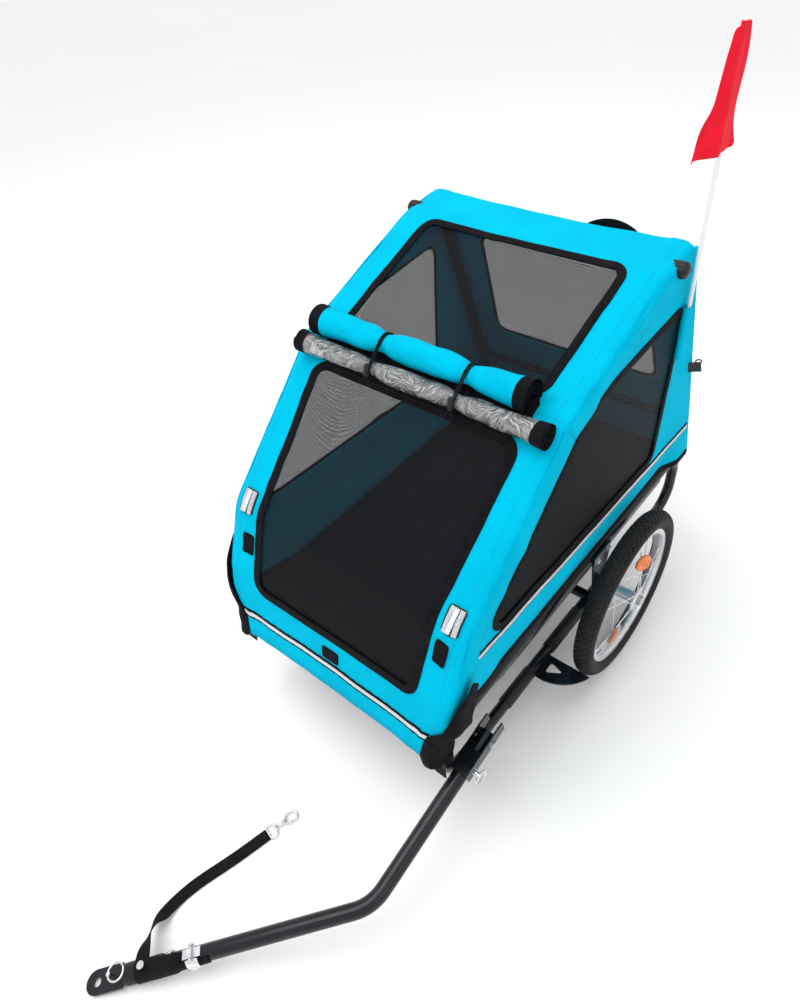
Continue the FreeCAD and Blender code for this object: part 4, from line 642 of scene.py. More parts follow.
HEM, KNEE, BROW, SEAM, CROWN = (-583, 238), (-548, 395), (-490, 532), (-223, 783), (92, 897)
TAIL, TAIL_LIP = (198, 909), (208, 884)
FRONT = Line(rounded([HEM, KNEE, BROW, SEAM, CROWN, TAIL, TAIL_LIP], [80, 80, 14, 80, 9]))
REAR_FOOT, REAR_HEAD = (402, 296), (203, 900)
REAR = Line([Vector(REAR_FOOT), Vector(REAR_HEAD)])
SHELL_FLAT, SHELL_TURN, SHELL_LIP = 271, 18, 30
SHELL_EDGE = SHELL_FLAT + SHELL_TURN * pi / 2 + SHELL_LIP
SHELL_SAG, SHELL_RIPPLE, SHELL_FOLD, SLACK_FROM, SLACK_SPAN = 4.5, 1.6, 3.0, 150, 90
HOOP_X, HOOP_RIDGE, HOOP_RIDGE_WIDTH = 250, 2.2, 9
CORNER_DRAW, CORNER_DRAW_TOP, DRAW_SPAN = 28, 345, 60
SIDE_X, SIDE_SKIN, SIDE_RIPPLE, SIDE_FOLD = 285.4, 0.9, 0.9, 0.72
HEM_DRAW, HEM_DRAW_MORE, HEM_DRAW_TOP, HEM_DRAW_HEIGHT = 18, 5, 400, 98
HEM_DRAW_FROM, HEM_DRAW_UNTIL = -417, 350
REAR_SAG, REAR_SAG_HALF, REAR_RIPPLE = 3.0, 260, 1.6
SEAM_S = FRONT.find(0, SEAM[0])


def soft_noise(u, v, seed):
    return noise.noise(Vector((u, v, seed)))


def ease(share):
    """A smooth step from 0 to 1."""
    share = min(1.0, max(0.0, share))
    return share * share * (3 - 2 * share)


def shell_relief(x, s):
    """Sag between the hoops, the hoops showing through, and slack folds near the edges."""
    sag = -SHELL_SAG * max(0.0, 1 - (x / HOOP_X) ** 2)
    ridge = HOOP_RIDGE * exp(-((abs(x) - HOOP_X) / HOOP_RIDGE_WIDTH) ** 2)
    slack = min(1.0, max(0.0, (abs(x) - SLACK_FROM) / SLACK_SPAN))
    folds = SHELL_FOLD * slack * soft_noise((x + s) / 34, (x - s) / 120, 4.2)
    return sag + ridge + folds + SHELL_RIPPLE * soft_noise(x / 70, s / 100, 1.7)


def on_front(x, s, h=0.0):
    """A point h above the shell, x across it and s along it from the hem."""
    spot, run = FRONT.spot(s), FRONT.run(s)
    drawn_in = CORNER_DRAW * ease((CORNER_DRAW_TOP - spot.y) / DRAW_SPAN) if s < SEAM_S else 0.0
    over = max(0.0, abs(x) - SHELL_FLAT)
    angle = min(over / SHELL_TURN, pi / 2)
    across = min(abs(x), SHELL_FLAT) + SHELL_TURN * sin(angle)
    down = SHELL_TURN * (1 - cos(angle)) + max(0.0, over - SHELL_TURN * pi / 2)
    h += shell_relief(x, s)
    across += h * sin(angle) - drawn_in * min(1.0, abs(x) / SHELL_FLAT) ** 3
    lift = h * cos(angle) - down
    return at(copysign(across, x), spot.x - run.y * lift, spot.y + run.x * lift)


def on_side(sign):
    """One side's outer face: gives a point h off the cloth at y and z."""
    def place(y, z, h=0.0):
        ripple = SIDE_RIPPLE * soft_noise(y / 120, z / 90, 7.0 + sign)
        folds = SIDE_FOLD * soft_noise((y + z) / 40, (y - z) / 150, 2.0)
        depth = HEM_DRAW + HEM_DRAW_MORE * ease((y - HEM_DRAW_FROM) / DRAW_SPAN)
        reach = ease((HEM_DRAW_TOP - z) / HEM_DRAW_HEIGHT) * ease((HEM_DRAW_UNTIL - y) / DRAW_SPAN)
        return at(sign * (SIDE_X + SIDE_SKIN - depth * reach + ripple + folds + h), y, z)
    return place


def on_rear(x, t, h=0.0):
    """A point h behind the back, x across it and t up it from the foot."""
    spot, run = REAR.spot(t), REAR.run(t)
    sag = REAR_SAG * max(0.0, 1 - (x / REAR_SAG_HALF) ** 2)
    h += REAR_RIPPLE * soft_noise(x / 110, t / 90, 5.0) - sag
    return at(x, spot.x + run.y * h, spot.y - run.x * h)


def front_s(y):
    return FRONT.find(0, y)


def rear_t(z):
    return (z - REAR_FOOT[1]) * REAR.length / (REAR_HEAD[1] - REAR_FOOT[1])


# Outlines, tapes and panels

DOOR_LOW, DOOR_HIGH = front_s(-553), front_s(-259.4)
ROOF_LOW, ROOF_HIGH = front_s(-190), front_s(86)
DOOR_HALF_LOW, DOOR_HALF_HIGH, ROOF_HALF, WINDOW_CORNER = 203, 224, 218, 30
CLOTH_STEP, NET_STEP = 12, 24


def trapezium(half_low, half_high, low, high, corner, x=0.0):
    """A closed outline about x with round corners, and a width of its own at each end."""
    spots = [(x - half_low, low), (x + half_low, low), (x + half_high, high), (x - half_high, high)]
    return rounded(spots, [corner] * 4, closed=True)


def rectangle(half, low, high, corner, x=0.0):
    return trapezium(half, half, low, high, corner, x)


def door_loop(grow=0.0):
    return trapezium(DOOR_HALF_LOW + grow, DOOR_HALF_HIGH + grow, DOOR_LOW - grow, DOOR_HIGH + grow,
                     WINDOW_CORNER + grow)


def roof_loop(grow=0.0):
    return rectangle(ROOF_HALF + grow, ROOF_LOW - grow, ROOF_HIGH + grow, WINDOW_CORNER + grow)


def ribbon(half, rise, foot=0.2, slope=0.4):
    """The section of a sewn tape, as (offset, height) across it."""
    return [(-half, foot), (slope - half, rise), (half - slope, rise), (half, foot)]


TAPE = [(-7.5, 0.2), (-7.0, 1.3), (-3.0, 1.6), (3.0, 1.6), (7.0, 1.3), (7.5, 0.2)]
NARROW, STRIP = ribbon(4.0, 1.1), ribbon(4.0, 2.0, foot=0.9)
FRONT_EDGE, SIDE_EDGE = ribbon(9.5, 1.0, slope=0.5), ribbon(8.5, 0.9, slope=0.5)
EDGE_WAVE = 0.9


def make_panel(name, look, body, replaces, loops, place, step, flat, rests_on, height=0.0, **finish):
    """A stretched panel of cloth or net, with its flat size in metres; what carries it is not used."""
    shape = Shape().sheet(loops, place, step, height)
    obj = shape.piece(name, look, body, replaces, **finish)
    area = min(shape.area(), flat[0] * flat[1])


def make_strip(name, body, path, place, **finish):
    """A reflective strip sewn on along a path."""
    shape = Shape().band(path, place, STRIP, closed=False)
    shape.piece(name, "strip", body, thick=0.8, **finish)


# Front, roof and door

SEAM_X, SEAM_GAP, HEM_SEAM = 262, 6, 12
TOOTH_PITCH, TOOTH_HALF, TOOTH_HEIGHT = 4.2, 1.7, 0.8


def make_front():
    edge, tail = SHELL_EDGE, FRONT.length
    loops = [rectangle(edge, 0, tail, 14), door_loop(), roof_loop()]
    make_panel("cabin_shell", "blue", "front_hoop", ["front_panel", "roof_panel"], loops, on_front,
               CLOTH_STEP, (2 * edge * MM, tail * MM), ["hoop_tube_left", "hoop_tube_right"], thick=1.8)
    make_panel("roof_net", "net", "front_hoop", ["roof_window"], [roof_loop(6)], on_front, NET_STEP,
               (0.45, (ROOF_HIGH - ROOF_LOW + 12) * MM), ["cabin_shell"], height=-2.2)

    trim = Shape().band(roof_loop(-2), on_front, TAPE)
    trim.band(door_loop(4), on_front, NARROW)
    trim.sheet([rectangle(226, DOOR_HIGH + 6, ROOF_LOW - 6, 8)], on_front, 10, height=1.2)
    trim.piece("cabin_binding", "tape", "front_hoop", thick=1.0)

    seams = Shape()
    for s in (HEM_SEAM, SEAM_S - SEAM_GAP, SEAM_S + SEAM_GAP):
        seams.stitches((8 - edge, s), (edge - 8, s), on_front)
    for x in (-SEAM_X, SEAM_X):
        seams.stitches((x, 14), (x, tail - 14), on_front)
    seams.piece("cabin_stitching", "thread", "front_hoop")

    teeth = Shape()
    spots = resample(door_loop(0.5), TOOTH_PITCH)
    for spot, way in zip(spots, headings(spots, True)):
        side = Vector((-way.y, way.x)) * TOOTH_HALF
        a, b, c, d = (on_front(*(spot + shift), 1.0) for shift in (side, -side, way, -way))
        up = on_front(*spot, 2.0) - on_front(*spot, 1.0)
        teeth.block((a + b) / 2, (a - b) / 2, (c - d) / 2, up * TOOTH_HEIGHT, top=0.7)
    teeth.piece("door_zip", "zip", "front_hoop", bevel=0.2)


def make_door():
    make_panel("door_net", "net", "door", ["front_door"], [door_loop(-3)], on_front, NET_STEP,
               (0.448, (DOOR_HIGH - DOOR_LOW) * MM), ["cabin_shell"], height=-1.8)
    trim = Shape().band(door_loop(-5.4), on_front, NARROW)
    trim.piece("door_binding", "tape", "door", thick=1.2)


make_front()
make_door()


# Sides and back

SIDE_HEM_Z, SIDE_INSET, SIDE_SPOTS = 302, 5, 61
SIDE_WINDOW = [(-456, 478), (166, 443), (190, 794), (-135, 772)]
SIDE_WINDOW_RADII = [26, 26, 30, 150]
SIDE_STRIP, SIDE_STRIP_EDGE = ((-480, 459.4), (350, 412)), ((-482, 459.5), (352, 412))
REAR_HALF, REAR_WINDOW_HALF, REAR_WINDOW_Z = 283, (212, 198), (530, 812)
REAR_STRIP_HALF, REAR_STRIP_DROP, PIPING_R = 240, 50, 4.2
HANDLE_X, HANDLE_SPAN, HANDLE_RISE, HANDLE_DROP = 124, 110, 17, 16
TAB_SPOT = (286, 606)


def side_outline():
    """The side's edge: along the shell, a little inside it, then down the back to the hem."""
    spots = []
    for s in np.linspace(FRONT.find(1, SIDE_HEM_Z + 2), front_s(TAIL[0] - 12), SIDE_SPOTS):
        spot, run = FRONT.spot(s), FRONT.run(s)
        spots.append(spot + Vector((run.y, -run.x)) * SIDE_INSET)
    return [*spots, Vector(REAR_HEAD) - Vector((2, 2)), REAR.spot(rear_t(SIDE_HEM_Z)) - Vector((2, 0))]


def make_side(side, sign):
    place = on_side(sign)
    outline = side_outline()
    opening = rounded(SIDE_WINDOW, SIDE_WINDOW_RADII, closed=True)
    make_panel(f"side_fabric_{side}", "blue", "chassis", [f"side_panel_{side}"], [outline, opening], place,
               CLOTH_STEP, (0.98, 0.62), [f"side_loop_{side}"], thick=1.6, folds=True)
    make_panel(f"side_net_{side}", "net", "chassis", [f"side_window_{side}"], [opening], place, NET_STEP,
               (0.64, 0.35), [f"side_fabric_{side}"], height=-2.0, folds=True)
    trim = Shape().band(opening, place, TAPE)
    trim.band([outline[0] + Vector((4, 5)), outline[-1] + Vector((-4, 5))], place, TAPE, closed=False)
    trim.band(SIDE_STRIP_EDGE, place, SIDE_EDGE, closed=False, wave=EDGE_WAVE)
    trim.piece(f"side_binding_{side}", "tape", "chassis", thick=1.0, folds=True)
    make_strip(f"side_strip_{side}", "chassis", SIDE_STRIP, place, folds=True)


def make_rear():
    top = REAR.length
    low, high = (rear_t(z) for z in REAR_WINDOW_Z)
    opening = trapezium(*REAR_WINDOW_HALF, low, high, 26)
    loops = [rectangle(REAR_HALF, 8, top - 6, 6), opening]
    make_panel("rear_fabric", "blue", "rear_frame", ["rear_panel"], loops, on_rear, CLOTH_STEP + 1,
               (0.57, 0.63), ["rear_posts"], thick=1.6, bends=True)
    make_panel("rear_net", "net", "rear_frame", ["rear_window"], [opening], on_rear, NET_STEP,
               (0.43, 0.31), ["rear_fabric"], height=-2.0, bends=True)
    trim = Shape().band(opening, on_rear, TAPE)
    trim.band([(4 - REAR_HALF, 14), (REAR_HALF - 4, 14)], on_rear, TAPE, closed=False)
    trim.piece("rear_binding", "tape", "rear_frame", thick=1.0, bends=True)
    piping = Shape()
    for sign in SIGNS:
        piping.tube([on_rear(sign * (SIDE_X - 3), t, 0.5) for t in np.linspace(10, top - 4, 60)], PIPING_R)
    piping.piece("corner_piping", "blue", "rear_frame", solid=True, bends=True)
    strip_t = low - REAR_STRIP_DROP
    path = [(-REAR_STRIP_HALF, strip_t), (REAR_STRIP_HALF, strip_t)]
    make_strip("rear_strip", "rear_frame", path, on_rear, bends=True)


def make_rear_details():
    """A webbing grip at the top of the back, and a moulded tab with an eye at the left rear edge."""
    rows = []
    for share in np.linspace(0, 1, 25):
        x = HANDLE_X + HANDLE_SPAN * (share - 0.5)
        lift = HANDLE_RISE * sin(pi * share) ** 0.7
        t = REAR.length - HANDLE_DROP + lift
        rows.append([on_rear(x, t + w, 1.5 + lift * 0.5) for w in WEBBING])
    grip = Shape().webbing(rows, 4)
    grip.piece("rear_grip", "webbing", "rear_frame", thick=2.0, bends=True)

    tab = Shape()
    spot = on_side(1)(*TAB_SPOT)
    out, back, lean = Vector((0.8, 0.6, 0)), Vector((-0.6, 0.8, 0)), Vector((0, -0.3, 0.95))
    tab.block(spot + out * 0.010, out * 0.016, back * 0.003, lean * 0.013, top=0.86)
    eye = spot + out * 0.019 + lean * 0.016
    ring = [eye + (out * cos(a) + lean * sin(a)) * 0.006 for a in turns(20)]
    tab.tube(ring, 1.5, 8, closed=True)
    tab.piece("side_tab", "plastic", "rear_frame", solid=True, bends=True)


for side, sign in SIDES:
    make_side(side, sign)
make_rear()
make_rear_details()


# Small pieces on the front

FRONT_STRIP = ((-268, 60), (268, 60))
PATCHES = ((-234, 463, 28, 46), (242, 483, 28, 46), (0, 327, 42, 30))
REFLECTOR_X, REFLECTOR_DROP, REFLECTOR_RIBS, REFLECTOR_BAND = 249, 20, 14, 0.28
REFLECTOR_HALF_WIDTH, REFLECTOR_HALF_HEIGHT, REFLECTOR_RIM, REFLECTOR_LIFT = 15, 23, 2, 4.2
LOOP_X, LOOP_FRONT_Y, LOOP_RADIUS, CORNER_Z = 262, -547, 12.5, 222
FLAP_TOP_Z, FLAP_BULGE, FLAP_BULGE_X, FLAP_BULGE_SPAN = 452, 11, 266, 26
STRAP_EDGES = (-12.5, -11, 11, 12.5)
STRAP_TAIL = ((0, -566, 246), (0, -567, 232), (0, -564, 216), (0, -563, 198), (3, -566, 176))
BUCKLE_Y, BUCKLE_Z, BUCKLE_ENDS = -570, 228, (-16, 16)


def make_front_trim():
    edge = Shape().band(FRONT_STRIP, on_front, FRONT_EDGE, closed=False, wave=EDGE_WAVE)
    edge.piece("front_strip_edge", "tape", "front_hoop", thick=1.0)
    make_strip("front_strip", "front_hoop", FRONT_STRIP, on_front)
    patches = Shape()
    for x, z, width, height in PATCHES:
        s = FRONT.find(1, z)
        patches.sheet([rectangle(width / 2, s - height / 2, s + height / 2, 4, x)], on_front, 6, height=2.2)
    patches.piece("hook_patches", "hook", "front_hoop", thick=2.0)


def make_front_reflectors():
    """Ribbed lenses with a smooth band up the middle, on a black base."""
    low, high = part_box("front_reflectors")
    middle = FRONT.find(1, (low[2] + high[2]) / 2 / MM - REFLECTOR_DROP)
    width, height = REFLECTOR_HALF_WIDTH, REFLECTOR_HALF_HEIGHT
    reach = height + REFLECTOR_RIM
    flank = (1 - REFLECTOR_BAND) / 2
    columns = ((flank - 1, flank, REFLECTOR_RIBS, 0.6), (0, REFLECTOR_BAND, 1, 0.93),
               (1 - flank, flank, REFLECTOR_RIBS, 0.6))
    lens, base = Shape(), Shape()
    for x in (-REFLECTOR_X, REFLECTOR_X):
        outline = rectangle(width + REFLECTOR_RIM, middle - reach, middle + reach, 5, x)
        base.sheet([outline], on_front, 5, height=3.2)
        for shift, share, ribs, top in columns:
            u = x + width * shift
            for j in range(ribs):
                v = middle + height * ((2 * j + 1) / ribs - 1)
                spot = on_front(u, v, REFLECTOR_LIFT)
                across = on_front(u + width * share, v, REFLECTOR_LIFT) - spot
                along = on_front(u, v + height / ribs, REFLECTOR_LIFT) - spot
                lens.block(spot, across, along, across.cross(along).normalized() * 1.4 * MM, top=top)
    base.piece("reflector_bases", "plastic", "front_hoop", thick=3.0)
    lens.piece("front_reflector_lenses", "silver", "front_hoop", ["front_reflectors"], sharp=15)


def over_corner(x, s, h=0.0):
    """A second layer over the front's side edges, standing off the tube behind it."""
    return on_front(x, s, h + FLAP_BULGE * ease((abs(x) - FLAP_BULGE_X) / FLAP_BULGE_SPAN))


def make_corner_straps():
    """Webbing from the front panel's bottom corners round the side loops, with ladder buckles."""
    straps, buckles, flaps = Shape(), Shape(), Shape()
    edge, top = SHELL_EDGE - 1, FRONT.find(1, FLAP_TOP_Z)
    corners = [(258, 2), (270, -14), (edge, 2), (edge, top - 16), (300, top), (284, top - 80), (270, 66)]
    radii = [4, 5, 4, 10, 3, 60, 30]
    for sign in SIGNS:
        x = LOOP_X * sign
        outline = [(u * sign, s) for u, s in corners]
        flaps.sheet([rounded(outline[::sign], radii[::sign], closed=True)], over_corner, 7, height=2.6)
        rows = []
        for a in np.linspace(0, 2 * pi, 25):
            out = Vector((cos(a), sin(a))) * (LOOP_RADIUS + 1.6)
            rows.append([at(x + out.x, LOOP_FRONT_Y + out.y, CORNER_Z + h) for h in STRAP_EDGES])
        straps.webbing(rows, 4)
        rows = [[at(x + shift * sign + w, y, z) for w in STRAP_EDGES] for shift, y, z in STRAP_TAIL]
        straps.webbing(rows, 20)
        for h in (-9, 0, 9):
            buckles.tube([at(x + w, BUCKLE_Y, BUCKLE_Z + h) for w in BUCKLE_ENDS], 2.4, 8)
        for w in BUCKLE_ENDS:
            buckles.tube([at(x + w, BUCKLE_Y, BUCKLE_Z + h) for h in (-10, 10)], 2.6, 8)
    straps.piece("corner_straps", "webbing", "chassis", thick=1.6)
    flaps.piece("corner_flaps", "tape", "front_hoop", thick=1.4)
    buckles.piece("corner_buckles", "plastic", "chassis", solid=True)


make_front_trim()
make_front_reflectors()
make_corner_straps()


# Rolled covers and their ties

TIE_X, TIE_DEPTH, TIE_SPREAD = (-82, 102), 0.3, 24
ROLL_SHIFT, ROLL_SETTLE, ROLL_CORE, ROLL_START = 13, 30, 4.0, 2.2
ROLL_STEPS, ROLL_STATIONS, ROLL_BOUND, ROLL_WOBBLE, ROLL_DROOP = 22, 54, 23, 2.4, 3
FLARE, FLARE_SPREAD = 0.2, 36
ROLLS = {
    "storm_cover_roll": ("blue tape", 4.6, 1.0, 1.28),
    "clear_cover_roll": ("vinyl tape", 2.4, 0.5, 1.15),
}
TOGGLE = ((-10, 0), (-10, 4.6), (-8.5, 6), (8.5, 6), (10, 4.6), (10, 3.2), (13, 3.2), (13.6, 0))


def roll_axis(node):
    """The ends, place and radius of a roll, a little fuller than its solid and settled on the shell."""
    low, high = (Vector(c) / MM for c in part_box(node))
    loft = ROLLS[node][-1]
    radius = (high.z - low.z) / 2 * loft
    settle = ROLL_SETTLE * (loft - 1)
    y = (low.y + high.y) / 2 - AXLE_Y / MM - settle * 0.8
    z = (low.z + high.z) / 2 - settle * 0.5
    return low.x + ROLL_SHIFT, high.x + ROLL_SHIFT, y, z, radius


def pinch(x):
    return 1 - TIE_DEPTH * sum(exp(-((x - t) / TIE_SPREAD) ** 2) for t in TIE_X)


def flare(along, length):
    """A roll opens a little at its free ends."""
    return 1 + FLARE * sum(exp(-((along - end) / FLARE_SPREAD) ** 2) for end in (0, length))


def make_roll(node):
    """A sheet rolled up: its spiral shows at the ends, which are bound, and ties pinch it."""
    looks, gap, thick, _ = ROLLS[node]
    start, end, y, z, radius = roll_axis(node)
    swell = radius - ROLL_CORE
    around = int(swell / gap * ROLL_STEPS)
    length = end - start
    middle = np.linspace(ROLL_BOUND, length - ROLL_BOUND, ROLL_STATIONS + 1)
    rows, uvs = [], []
    for along in (0, 3, *middle, length - 3, length):
        x = start + along
        droop = ROLL_DROOP * soft_noise(x / 120, radius, 9.0)
        row, marks = [], []
        for k in range(around + 1):
            a = 2 * pi * swell / gap * k / around
            wobble = ROLL_WOBBLE * soft_noise(x / 38, a * 0.6, 3.0 + radius) * k / around
            r = (ROLL_CORE + swell * k / around + wobble) * pinch(x) * flare(along, length) - 0.8
            turn = a - ROLL_START
            row.append(at(x, y - cos(turn) * r + droop, z + sin(turn) * r - abs(droop)))
            marks.append((x * MM, a * r * MM))
        rows.append(row)
        uvs.append(marks)
    shape = Shape().grid(rows, uvs=uvs)
    for row in (0, 1, len(rows) - 3, len(rows) - 2):
        for face in range(row * around, (row + 1) * around):
            shape.mats[face] = 1
    obj = shape.piece(f"{node}_film", looks, "front_hoop", [node], thick=thick)
    area = shape.area()


def make_ties():
    """Elastic loops round both rolls, drawn up by a toggle in front."""
    cords, toggles = Shape(), Shape()
    down = Vector((0, -0.25, -0.97))
    for x in TIE_X:
        rolls = []
        for node in ROLLS:
            _, _, y, z, radius = roll_axis(node)
            rolls.append((Vector((y, z)), radius * pinch(x) + 1.2))
        for shift in (-2.1, 2.1):
            ring = []
            for k, a in enumerate(turns(44)):
                way = Vector((cos(a), sin(a)))
                spot, radius = max(rolls, key=lambda roll: roll[0].dot(way) + roll[1])
                edge = spot + way * radius
                ring.append(at(x + shift + 0.7 * sin(3 * k), edge.x, edge.y))
            cords.tube(ring, 1.7, 8, closed=True)
        spot, radius = rolls[1]
        hold = at(x, spot.x - radius * 0.96 - 4, spot.y + radius * 0.5)
        toggles.lathe(TOGGLE, hold, down, 20)
        for bend in (-1, 1):
            tail = [hold + down * 0.008, hold + down * 0.017 + Vector((bend * 0.003, 0, 0)),
                    hold + down * 0.024 + Vector((bend * 0.008, -0.002, 0))]
            cords.tube(tail, 1.5, 8)
    cords.piece("roll_tie_cords", "elastic", "front_hoop", ["roll_ties"], solid=True)
    toggles.piece("roll_tie_toggles", "plastic", "front_hoop", solid=True)


for node in ROLLS:
    make_roll(node)
make_ties()


# Wheels

WHEEL_X, WHEEL_RADIUS, SECTION_R = 344, 200, 178
SPOKE_BED, FLANGE_R, FLANGE_X, SPOKE_RIM_X = 147, 27, 25.5, 4.33
SPOKES, SWEEP = 20, 26
CASING_HALF, CASING_RISE, SIDE_RIB, SIDE_RIB_AT = 21.2, 19.8, 0.7, 72
TREAD_BLOCKS, TREAD_SKEW, TREAD_HALF, TREAD_RISE = 72, 0.25, 20.7, 20.3
BLOCK_ACROSS, BLOCK_ALONG, BLOCK_UP = 3.1 * MM, 5.6 * MM, 1.5 * MM
TREAD_ROWS = ((-10, 0.0), (10, 0.5), (-33, 0.5), (33, 0.0), (-55, 0.0), (55, 0.5))
LENS_R, LENS_TURN = 20.5, radians(24)
RIM_PROFILE = (
    (-13, 161), (-11.4, 161.4), (-10.8, 157), (-6, 153.5), (0, 152.5), (6, 153.5), (10.8, 157), (11.4, 161.4),
    (13, 161), (12.6, 150.5), (7, 147.6), (0, 147.1), (-7, 147.6), (-12.6, 150.5),
)


def wheel_middle(sign):
    return at(sign * WHEEL_X, 0, WHEEL_RADIUS)


def make_tyre(side, sign):
    """Casing with sidewall ribs and a fine block tread."""
    middle = wheel_middle(sign)
    axis = Vector((sign, 0, 0))
    profile = [(-10.4, 157.6), (-12.5, 161)]
    for degrees in range(-128, 129, 8):
        a = radians(degrees)
        rib = SIDE_RIB if abs(abs(degrees) - SIDE_RIB_AT) < 6 else 0.0
        profile.append(((CASING_HALF + rib) * sin(a), SECTION_R + (CASING_RISE + rib) * cos(a)))
    profile += [(12.5, 161), (10.4, 157.6)]
    casing = Shape().lathe(profile, middle, axis, 120, closed=True)
    for k in range(TREAD_BLOCKS):
        for lean, half in TREAD_ROWS:
            a = 2 * pi * (k + half) / TREAD_BLOCKS
            tilt = radians(lean)
            out = Vector((0, cos(a), sin(a)))
            way = Vector((0, -sin(a), cos(a)))
            up = (axis * sin(tilt) + out * cos(tilt)).normalized()
            across = up.cross(way) + way * copysign(TREAD_SKEW, lean)
            reach = SECTION_R + TREAD_RISE * cos(tilt)
            spot = middle + (axis * TREAD_HALF * sin(tilt) + out * reach) * MM
            casing.block(spot, across * BLOCK_ACROSS, way * BLOCK_ALONG, up * BLOCK_UP, top=0.86)
    casing.piece(f"tyre_tread_{side}", "rubber", f"wheel_{side}", [f"tyre_{side}"], solid=True, sharp=32)


def spoke_ends(i):
    """A spoke's ends at the hub's flange and at the rim, from the wheel's middle."""
    face = 1 if i % 2 else -1
    a = 2 * pi * i / SPOKES
    b = a + radians(SWEEP if (i // 2) % 2 else -SWEEP)
    start = Vector((face * FLANGE_X, FLANGE_R * cos(a), FLANGE_R * sin(a)))
    end = Vector((face * SPOKE_RIM_X, SPOKE_BED * cos(b), SPOKE_BED * sin(b)))
    return start, end


def make_rim(side, sign):
    middle = wheel_middle(sign)
    rim = Shape().lathe(RIM_PROFILE, middle, Vector((1, 0, 0)), 120, closed=True)
    valve = ((0, 3), (16, 2.6), (17, 2.6), (17, 3.6), (26, 3.4), (27, 0))
    rim.lathe(valve, middle - UP * SPOKE_BED * MM, UP, 14)
    rim.piece(f"rim_profile_{side}", "alloy", f"wheel_{side}", [f"rim_{side}"], solid=True, sharp=28)
    fittings = Shape()
    for i in range(SPOKES):
        start, end = spoke_ends(i)
        nipple = ((-13, 0), (-13, 1.7), (-3, 2.0), (0.6, 2.6), (0.6, 0))
        fittings.lathe(nipple, middle + end * MM, (end - start).normalized(), 8)
        head = middle + (start - Vector((0, *start.yz)).normalized() * 3) * MM
        fittings.lathe(((0, 2.4), (2.4, 2.2), (3.2, 1.2), (3.4, 0)), head, Vector((start.x, 0, 0)), 10)
    for end in (-1, 1):
        cap = ((24, 15.5), (27, 15.5), (28.4, 14), (30.6, 11.5), (30.6, 8))
        fittings.lathe(cap, middle, Vector((end, 0, 0)), 32)
    fittings.piece(f"wheel_fittings_{side}", "chrome", f"wheel_{side}", slot="spoke_chrome", solid=True)

def make_wheel_reflectors(side, sign):
    """Round lenses with stepped rings, turned a little out of the wheel's plane."""
    node = f"wheel_reflectors_{side}"
    spots = [v.co.copy() for v in frame["nodes"][node].data.vertices]
    middle = wheel_middle(sign)
    first = Vector((spots[0] - middle).yz)
    lens = Shape()
    for half in (True, False):
        group = [p for p in spots if (Vector((p - middle).yz).dot(first) > 0) == half]
        near = [p for p in group if abs(p.x) < min(abs(q.x) for q in group) + 0.0005]
        centre = sum(near, Vector()) / len(near)
        profile = [(0, 0), (0, LENS_R), (3.2, LENS_R), (5, LENS_R - 1)]
        for k in range(9):
            profile.append((5.0 if k % 2 else 4.2, LENS_R - 2 - 2 * k))
        profile.append((4.6, 0))
        arm = (centre - middle).normalized()
        turned = Vector((sign, 0, 0)) * cos(LENS_TURN) + Vector((0, -arm.z, arm.y)) * sin(LENS_TURN)
        lens.lathe(profile, centre, turned, 40)
    lens.piece(f"wheel_lenses_{side}", "orange", f"wheel_{side}", [node], solid=True, sharp=20)


for side, sign in SIDES:
    make_tyre(side, sign)
    make_rim(side, sign)
    make_wheel_reflectors(side, sign)


# Fittings on the base

BRACKET_FACE_X, BRACKET_BOLT_Y, RAIL_LOW_Z, RAIL_TOP_Z = 279.6, 24, 130, 287
WASHER, BOLT_HEAD = ((0, 9), (1.4, 9), (1.6, 0)), ((1.4, 6.4), (5.4, 6.4), (6.2, 5.6), (6.2, 0))
SLEEVE_RUNS, SLEEVE_BORE, SLEEVE_LIP, SLEEVE_R = ((-350, -250), (-180, -52)), 12.6, 14, 14.6
MAT_HALF, MAT_FRONT, MAT_REAR, MAT_TOP = 240, -505, 358, 5


def make_base_fittings():
    """Bolts through the axle brackets, and plastic sleeves on the lower rails."""
    bolts, sleeves = Shape(), Shape()
    for sign in SIGNS:
        axis = Vector((sign, 0, 0))
        for y in (-BRACKET_BOLT_Y, BRACKET_BOLT_Y):
            for z in (RAIL_LOW_Z, RAIL_TOP_Z):
                spot = at(sign * BRACKET_FACE_X, y, z)
                bolts.lathe(WASHER, spot, axis, 24)
                bolts.lathe(BOLT_HEAD, spot, axis, 6)
        for start, end in SLEEVE_RUNS:
            length = end - start
            profile = ((0, SLEEVE_BORE), (0, SLEEVE_LIP), (1.5, SLEEVE_R),
                       (length - 1.5, SLEEVE_R), (length, SLEEVE_LIP), (length, SLEEVE_BORE))
            sleeves.lathe(profile, at(sign * LOOP_X, start, RAIL_LOW_Z), Vector((0, 1, 0)), 28)
    bolts.piece("bracket_bolts", "steel", "chassis", solid=True, sharp=30)
    sleeves.piece("rail_sleeves", "plastic", "chassis", solid=True)


